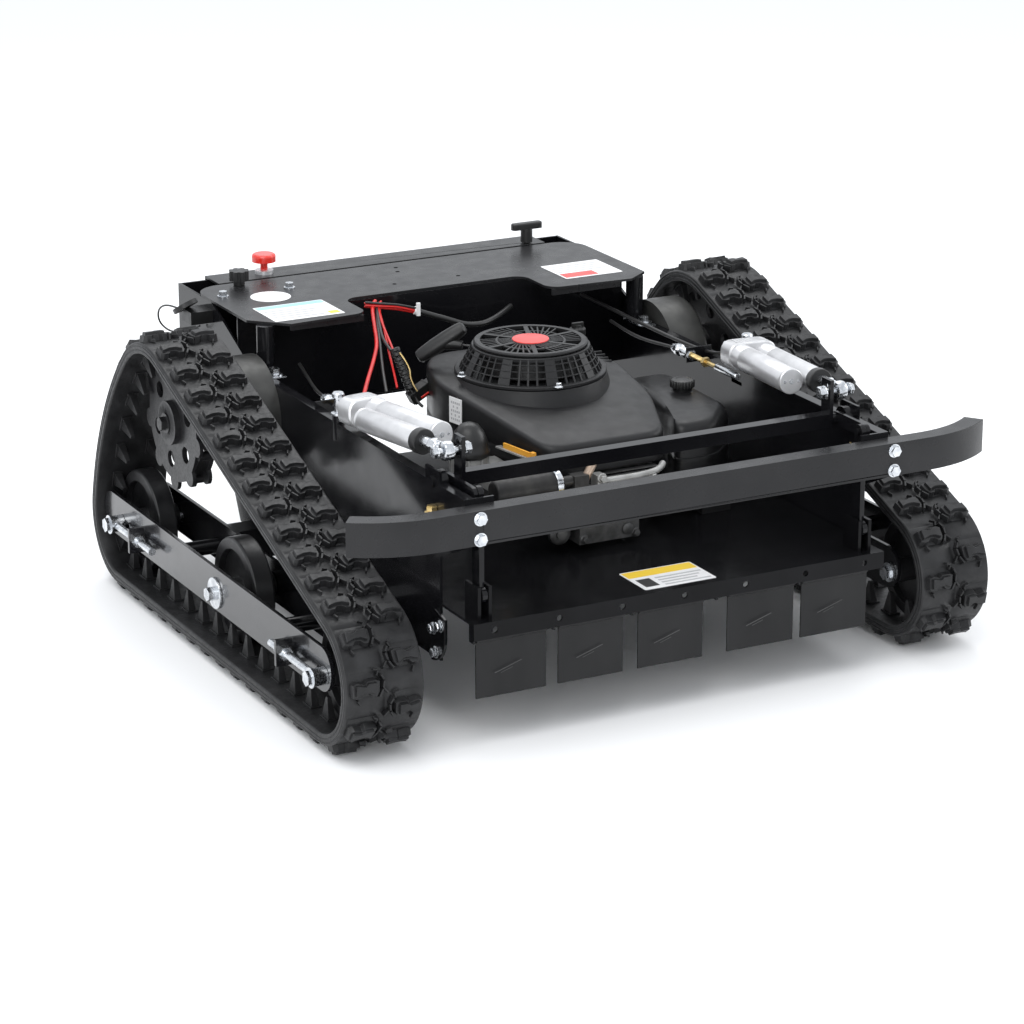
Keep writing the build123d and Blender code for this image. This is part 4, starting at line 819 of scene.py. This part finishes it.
def tie_rod(side):
    """A brake cable's threaded end with its sleeve, lock nuts and ball end, and the cable behind."""
    x, z = 303, ROD_MID_Z
    sleeve = along((x + 2, -137, z), Y_AXIS, [(4.4, 0), (5.6, 1), (5.6, 62), (4.6, 64)], 28)
    ball = along((x + 1, 24, z), Y_AXIS, [(4, -16), (7, -15), (8.5, -9), (8.5, 0), (6, 3), (6, 8), (9.5, 11),
                                          (10, 17), (8, 22), (4, 24)], 28)
    nuts = hex_bolt((x + 1, -2, z), Y_AXIS, 15, 7) + hex_bolt((x + 1, 50, z), Y_AXIS, 12, 6)
    build(f"cable_end_{side}", both(side, [sleeve, ball, *nuts]), "zinc", "chassis", bevel=0.4)
    rod = along((x + 1, -76, z), Y_AXIS, [(3.6, 0), (3.6, 76)], 20)
    threads = [along((x + 1, -34 + k * 2, z), Y_AXIS, [(3.6, 0), (4.4, 0.7), (4.4, 1.1), (3.6, 1.8)], 20)
               for k in range(16)]
    lock = hex_bolt((x + 1, -46, z), Y_AXIS, 14, 8)
    build(f"cable_thread_{side}", both(side, [rod, *threads, *lock]), BRASS, "chassis")
    sign = 1 if side == "right" else -1
    route = [(x, 54, z), (x - 4, 84, z - 2), (x - 14, 130, z - 3),
             (x - 22, 170, z + 2), (x - 28, 210, z + 10)]
    tube(f"brake_cable_{side}", [(sign * a, b, c) for a, b, c in route], 2.6, WIRE_BLACK, "chassis")
    bracket = cuboid(x - 6, SIDE_INNER_X, 4, 8, z - 12, z + 12)
    build(f"cable_bracket_{side}", both(side, [bracket]), "frame_paint", "chassis",
          bevel=0.6)


# ---- wiring ----------------------------------------------------------------------------
def wiring():
    """Leads from under the top plate's notch: the actuators' leads and the engine's plugs."""
    left = [(-108, 286, 438), (-119, 276, 436), (-142, 220, 422), (-170, 150, 410), (-196, 104, 406),
            (-222, 60, 403), (-248, 18, 400), (-270, -20, 399), (-292, -60, 401), (-306, -88, 404)]
    tube("actuator_lead_left", left, 3.0, "lead_jacket", "chassis")
    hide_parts("actuator_leads")
    right = [(262, 286, 404), (290, 220, 388), (318, 140, 372), (330, 70, 366), (333, 0, 368),
             (328, -50, 378), (318, -84, 392)]
    tube("actuator_lead_right", right, 3.0, WIRE_BLACK, "chassis")
    thin = {"red_a": [(-98, 286, 436), (-109, 276, 434), (-130, 220, 425), (-151, 150, 416),
                      (-170, 92, 412)],
            "red_b": [(-96, 286, 432), (-108, 276, 431), (-139, 190, 421), (-158, 140, 411),
                        (-169, 110, 404),
                      (-178, 74, 382), (-184, 52, 366)],
            "black_a": [(-100, 286, 432), (-111, 276, 431), (-136, 220, 424), (-165, 150, 410),
                          (-200, 70, 392),
                        (-224, 6, 376)],
            "black_b": [(-102, 286, 434), (-114, 270, 433), (-138, 210, 424), (-160, 150, 412),
                          (-172, 96, 412)],
            "stub_a": [(-158, 62, 358), (-152, 56, 348), (-150, 50, 338), (-146, 42, 334)],
            "stub_b": [(-110, 60, 366), (-100, 66, 372), (-92, 80, 374)]}
    for name, route in thin.items():
        finish = "lead_jacket" if name.startswith("red") else WIRE_BLACK
        tube(f"plug_wire_{name}", route, 1.8 if name.startswith("red") else 2.4, finish,
             "deck" if name.startswith("stub") else "chassis")
    bundle = [(-132, 276, 438), (-102, 262, 435), (-79, 256, 432), (-52, 250, 424)]
    for k in range(4):
        route = [(x, y - (k % 2) * 3.4, z + (k - 1.5) * 2.6 + (i * k % 3))
                 for i, (x, y, z) in enumerate(bundle)]
        tube(f"bundle_wire_{k}", route, 1.9, "lead_jacket" if k < 3 else WIRE_BLACK,
             "chassis")
    sleeve = [(-56, 251, 425), (-30, 246, 415), (-8, 240, 408), (31, 236, 392),
              (80, 246, 390), (130, 280, 402)]
    tube("loom_sleeve", sleeve, 4.6, WIRE_BLACK, "chassis")
    tie = along((-57, 251, 425), (0.93, -0.2, -0.3), [(6.2, 0), (6.8, 0.6), (6.8, 6), (6.2, 6.6)], 24)
    build("loom_tie", [tie, cuboid(-56, -50, 242, 246, 417, 438)], SOFT_WHITE, "chassis",
          bevel=0.3)
    sheath = []
    for k in range(9):
        place = Vector((-168, 90, 414)).lerp(Vector((-158, 62, 360)), k / 8)
        sheath.append(along(tuple(place), (0.17, -0.45, -0.87),
                            [(5.6, -3.4), (7.6, -2.4), (7.6, 2), (5.6, 3)], 20))
    build("plug_sheath", sheath, WIRE_BLACK, "chassis", bevel=0.4)
    tube("sheath_wire", [(-166, 80, 412), (-154, 68, 392), (-158, 60, 372), (-150, 52, 356)], 1.5, BRASS,
         "chassis")
    m = Matrix.Translation((-137, 62, 353)) @ Matrix.Rotation(math.radians(-28), 4, "Y")
    shell = [placed(cuboid(-24, 22, -9, 9, -9, 9), m), placed(cuboid(-14, 12, -10.5, 10.5, -7, 10.5), m),
             placed(cuboid(8, 12, -11, 11, -11, 11), m),
             placed(cuboid(-22, -17, -10.2, 10.2, -10.2, 10.2), m)]
    build("wire_plug", shell, "knob_plastic", "deck", bevel=1.2)
    lock = placed(cuboid(-10, 8, -12.2, -10.2, -5, -2), m)
    build("wire_plug_lock", [lock], "stop_red", "deck", bevel=0.6)


# ---- plates without lettering ----------------------------------------------------------
def label(name, place, size, body, bands, turn=0.0, thick=0.5):
    """A thin plate on a level face, with coloured bands given as shares of its size."""
    x, y, z = place
    w, h = size
    m = Matrix.Translation((x, y, z)) @ Matrix.Rotation(math.radians(turn), 4, "Z")
    plan = rounded_plan([(-w / 2, -h / 2), (w / 2, -h / 2), (w / 2, h / 2), (-w / 2, h / 2)],
                        3, 3, 1.0, (0, 0))
    build(name, [placed(prism(plan, 0, thick), m)], SOFT_WHITE, body)
    for k, (finish, u0, u1, v0, v1) in enumerate(bands):
        band = cuboid((u0 - 0.5) * w, (u1 - 0.5) * w, (v0 - 0.5) * h, (v1 - 0.5) * h, thick, thick + 0.15)
        build(f"{name}_band_{k}", [placed(band, m)], finish, body)


def label_lines(u0, u1, rows, v0, v1):
    """Thin grey rules, of uneven length, that stand for a plate's lines."""
    step = (v1 - v0) / rows
    return [(LABEL_GREY, u0, u1 - 0.07 * (k * 5 % 3), v0 + k * step, v0 + (k + 0.45) * step)
            for k in range(rows)]


def labels():
    top, deck = 446.1, 189.1
    label("plate_left", (-252, 260, top), (118, 90), "chassis",
          [(LABEL_BLUE, 0.02, 0.98, 0.8, 0.97), (LABEL_YELLOW, 0.82, 0.96, 0.08, 0.24),
           *label_lines(0.06, 0.74, 5, 0.1, 0.74)])
    label("plate_right", (262, 284, top), (104, 90), "chassis",
          [(LABEL_RED, 0.03, 0.6, 0.06, 0.34), *label_lines(0.06, 0.9, 4, 0.42, 0.92)])
    label("plate_deck", (2, -450, deck), (118, 78), "deck",
          [(LABEL_YELLOW, 0.02, 0.98, 0.66, 0.97), *label_lines(0.32, 0.96, 4, 0.08, 0.6),
           (WIRE_BLACK, 0.06, 0.25, 0.12, 0.54)])
    disc = along((-256, 358, top), Z_AXIS, [(32, 0), (32, 0.5)], 64)
    build("disc_plate", [disc], SOFT_WHITE, "chassis")


# ---- skirt, deck ends, small parts -----------------------------------------------------
def skirt_marks():
    """One long light scuff on each hanging flap."""
    for k in range(1, 6):
        low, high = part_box(f"flap_{k}")
        x0, x1 = low[0] / MM, high[0] / MM
        y, z = low[1] / MM, (low[2] + high[2]) / 2 / MM
        mid = (x0 + x1) / 2
        place = Matrix.Translation((mid - 10 + k * 3 % 7, y - 0.12, z - 4)) @ Matrix.Rotation(-0.3, 4, "Y")
        line = [placed(cuboid(-22, 22, -0.2, 0.2, -0.45, 0.45), place),
                placed(cuboid(-13, 6, -0.2, 0.2, -4.2, -3.7), place)]
        build(f"flap_scuff_{k}", line, SCRATCH, f"flap_{k}")


def deck_corner(side):
    """The curved hanger bracket at the side plate's front lower corner, with its bolts."""
    arc = [(-392 - 44 * math.sin(t), 104 + 44 * (1 - math.cos(t)))
           for t in [i * math.pi / 16 for i in range(9)]]
    outline = [(-392, 104), *arc[1:], (-436, 176), (-405, 184), (-392, 160)]
    plate_points = [(345, y, z) for y, z in outline] + [(350, y, z) for y, z in outline]
    n = len(outline)
    faces = [tuple(range(n)), tuple(reversed(range(n, 2 * n)))]
    faces += [(i, n + i, n + (i + 1) % n, (i + 1) % n) for i in range(n)]
    build(f"corner_bracket_{side}", both(side, [(plate_points, faces)]), "frame_paint", "chassis",
          bevel=1.0)
    bolts = []
    for y, z in ((-402, 154), (-424, 164), (-408, 120)):
        bolts += hex_bolt((350, y, z), X_AXIS, 12, 6, 9, 2, spin=y)
    nut = hex_bolt((351, -402, 326), Z_AXIS, 15, 8, 11, 2)
    build(f"corner_bolts_{side}", both(side, bolts), "zinc", "chassis", bevel=0.3)
    build(f"corner_nut_{side}", both(side, nut), BRASS, "chassis", bevel=0.3)


def charge_loop():
    """The wire loop that keeps the charging cap."""
    route = [(-378, 402, 424), (-392, 440, 432), (-400, 474, 420), (-396, 486, 392), (-380, 470, 376),
             (-362, 440, 384), (-352, 420, 396)]
    tube("cap_wire_loop", route, 1.5, WIRE_BLACK, "chassis")


make_camera()
make_studio()
# The deck shell gets the darker deck paint, whose darker colour is painted shade.
NODE_FINISH = {"track_rail_outer_left": RAIL_GLOSS, "track_rail_outer_right": RAIL_GLOSS,
               "deck_shell": DECK_PAINTED_SHADE}
SLOT_OF = {s["node"]: s["material_slot"] for s in frame["record"]["subparts"]}
for name, node in nodes.items():
    dress(node, NODE_FINISH.get(name, SLOT_OF[name]), angle=180)
    soften(node)
for side in ("left", "right"):
    belt(side)
    actuator(side)
    rod_eye(side)
    tie_rod(side)
    deck_corner(side)
recoil()
cowl()
engine_front()
starter()
tank()
wiring()
labels()
skirt_marks()
charge_loop()
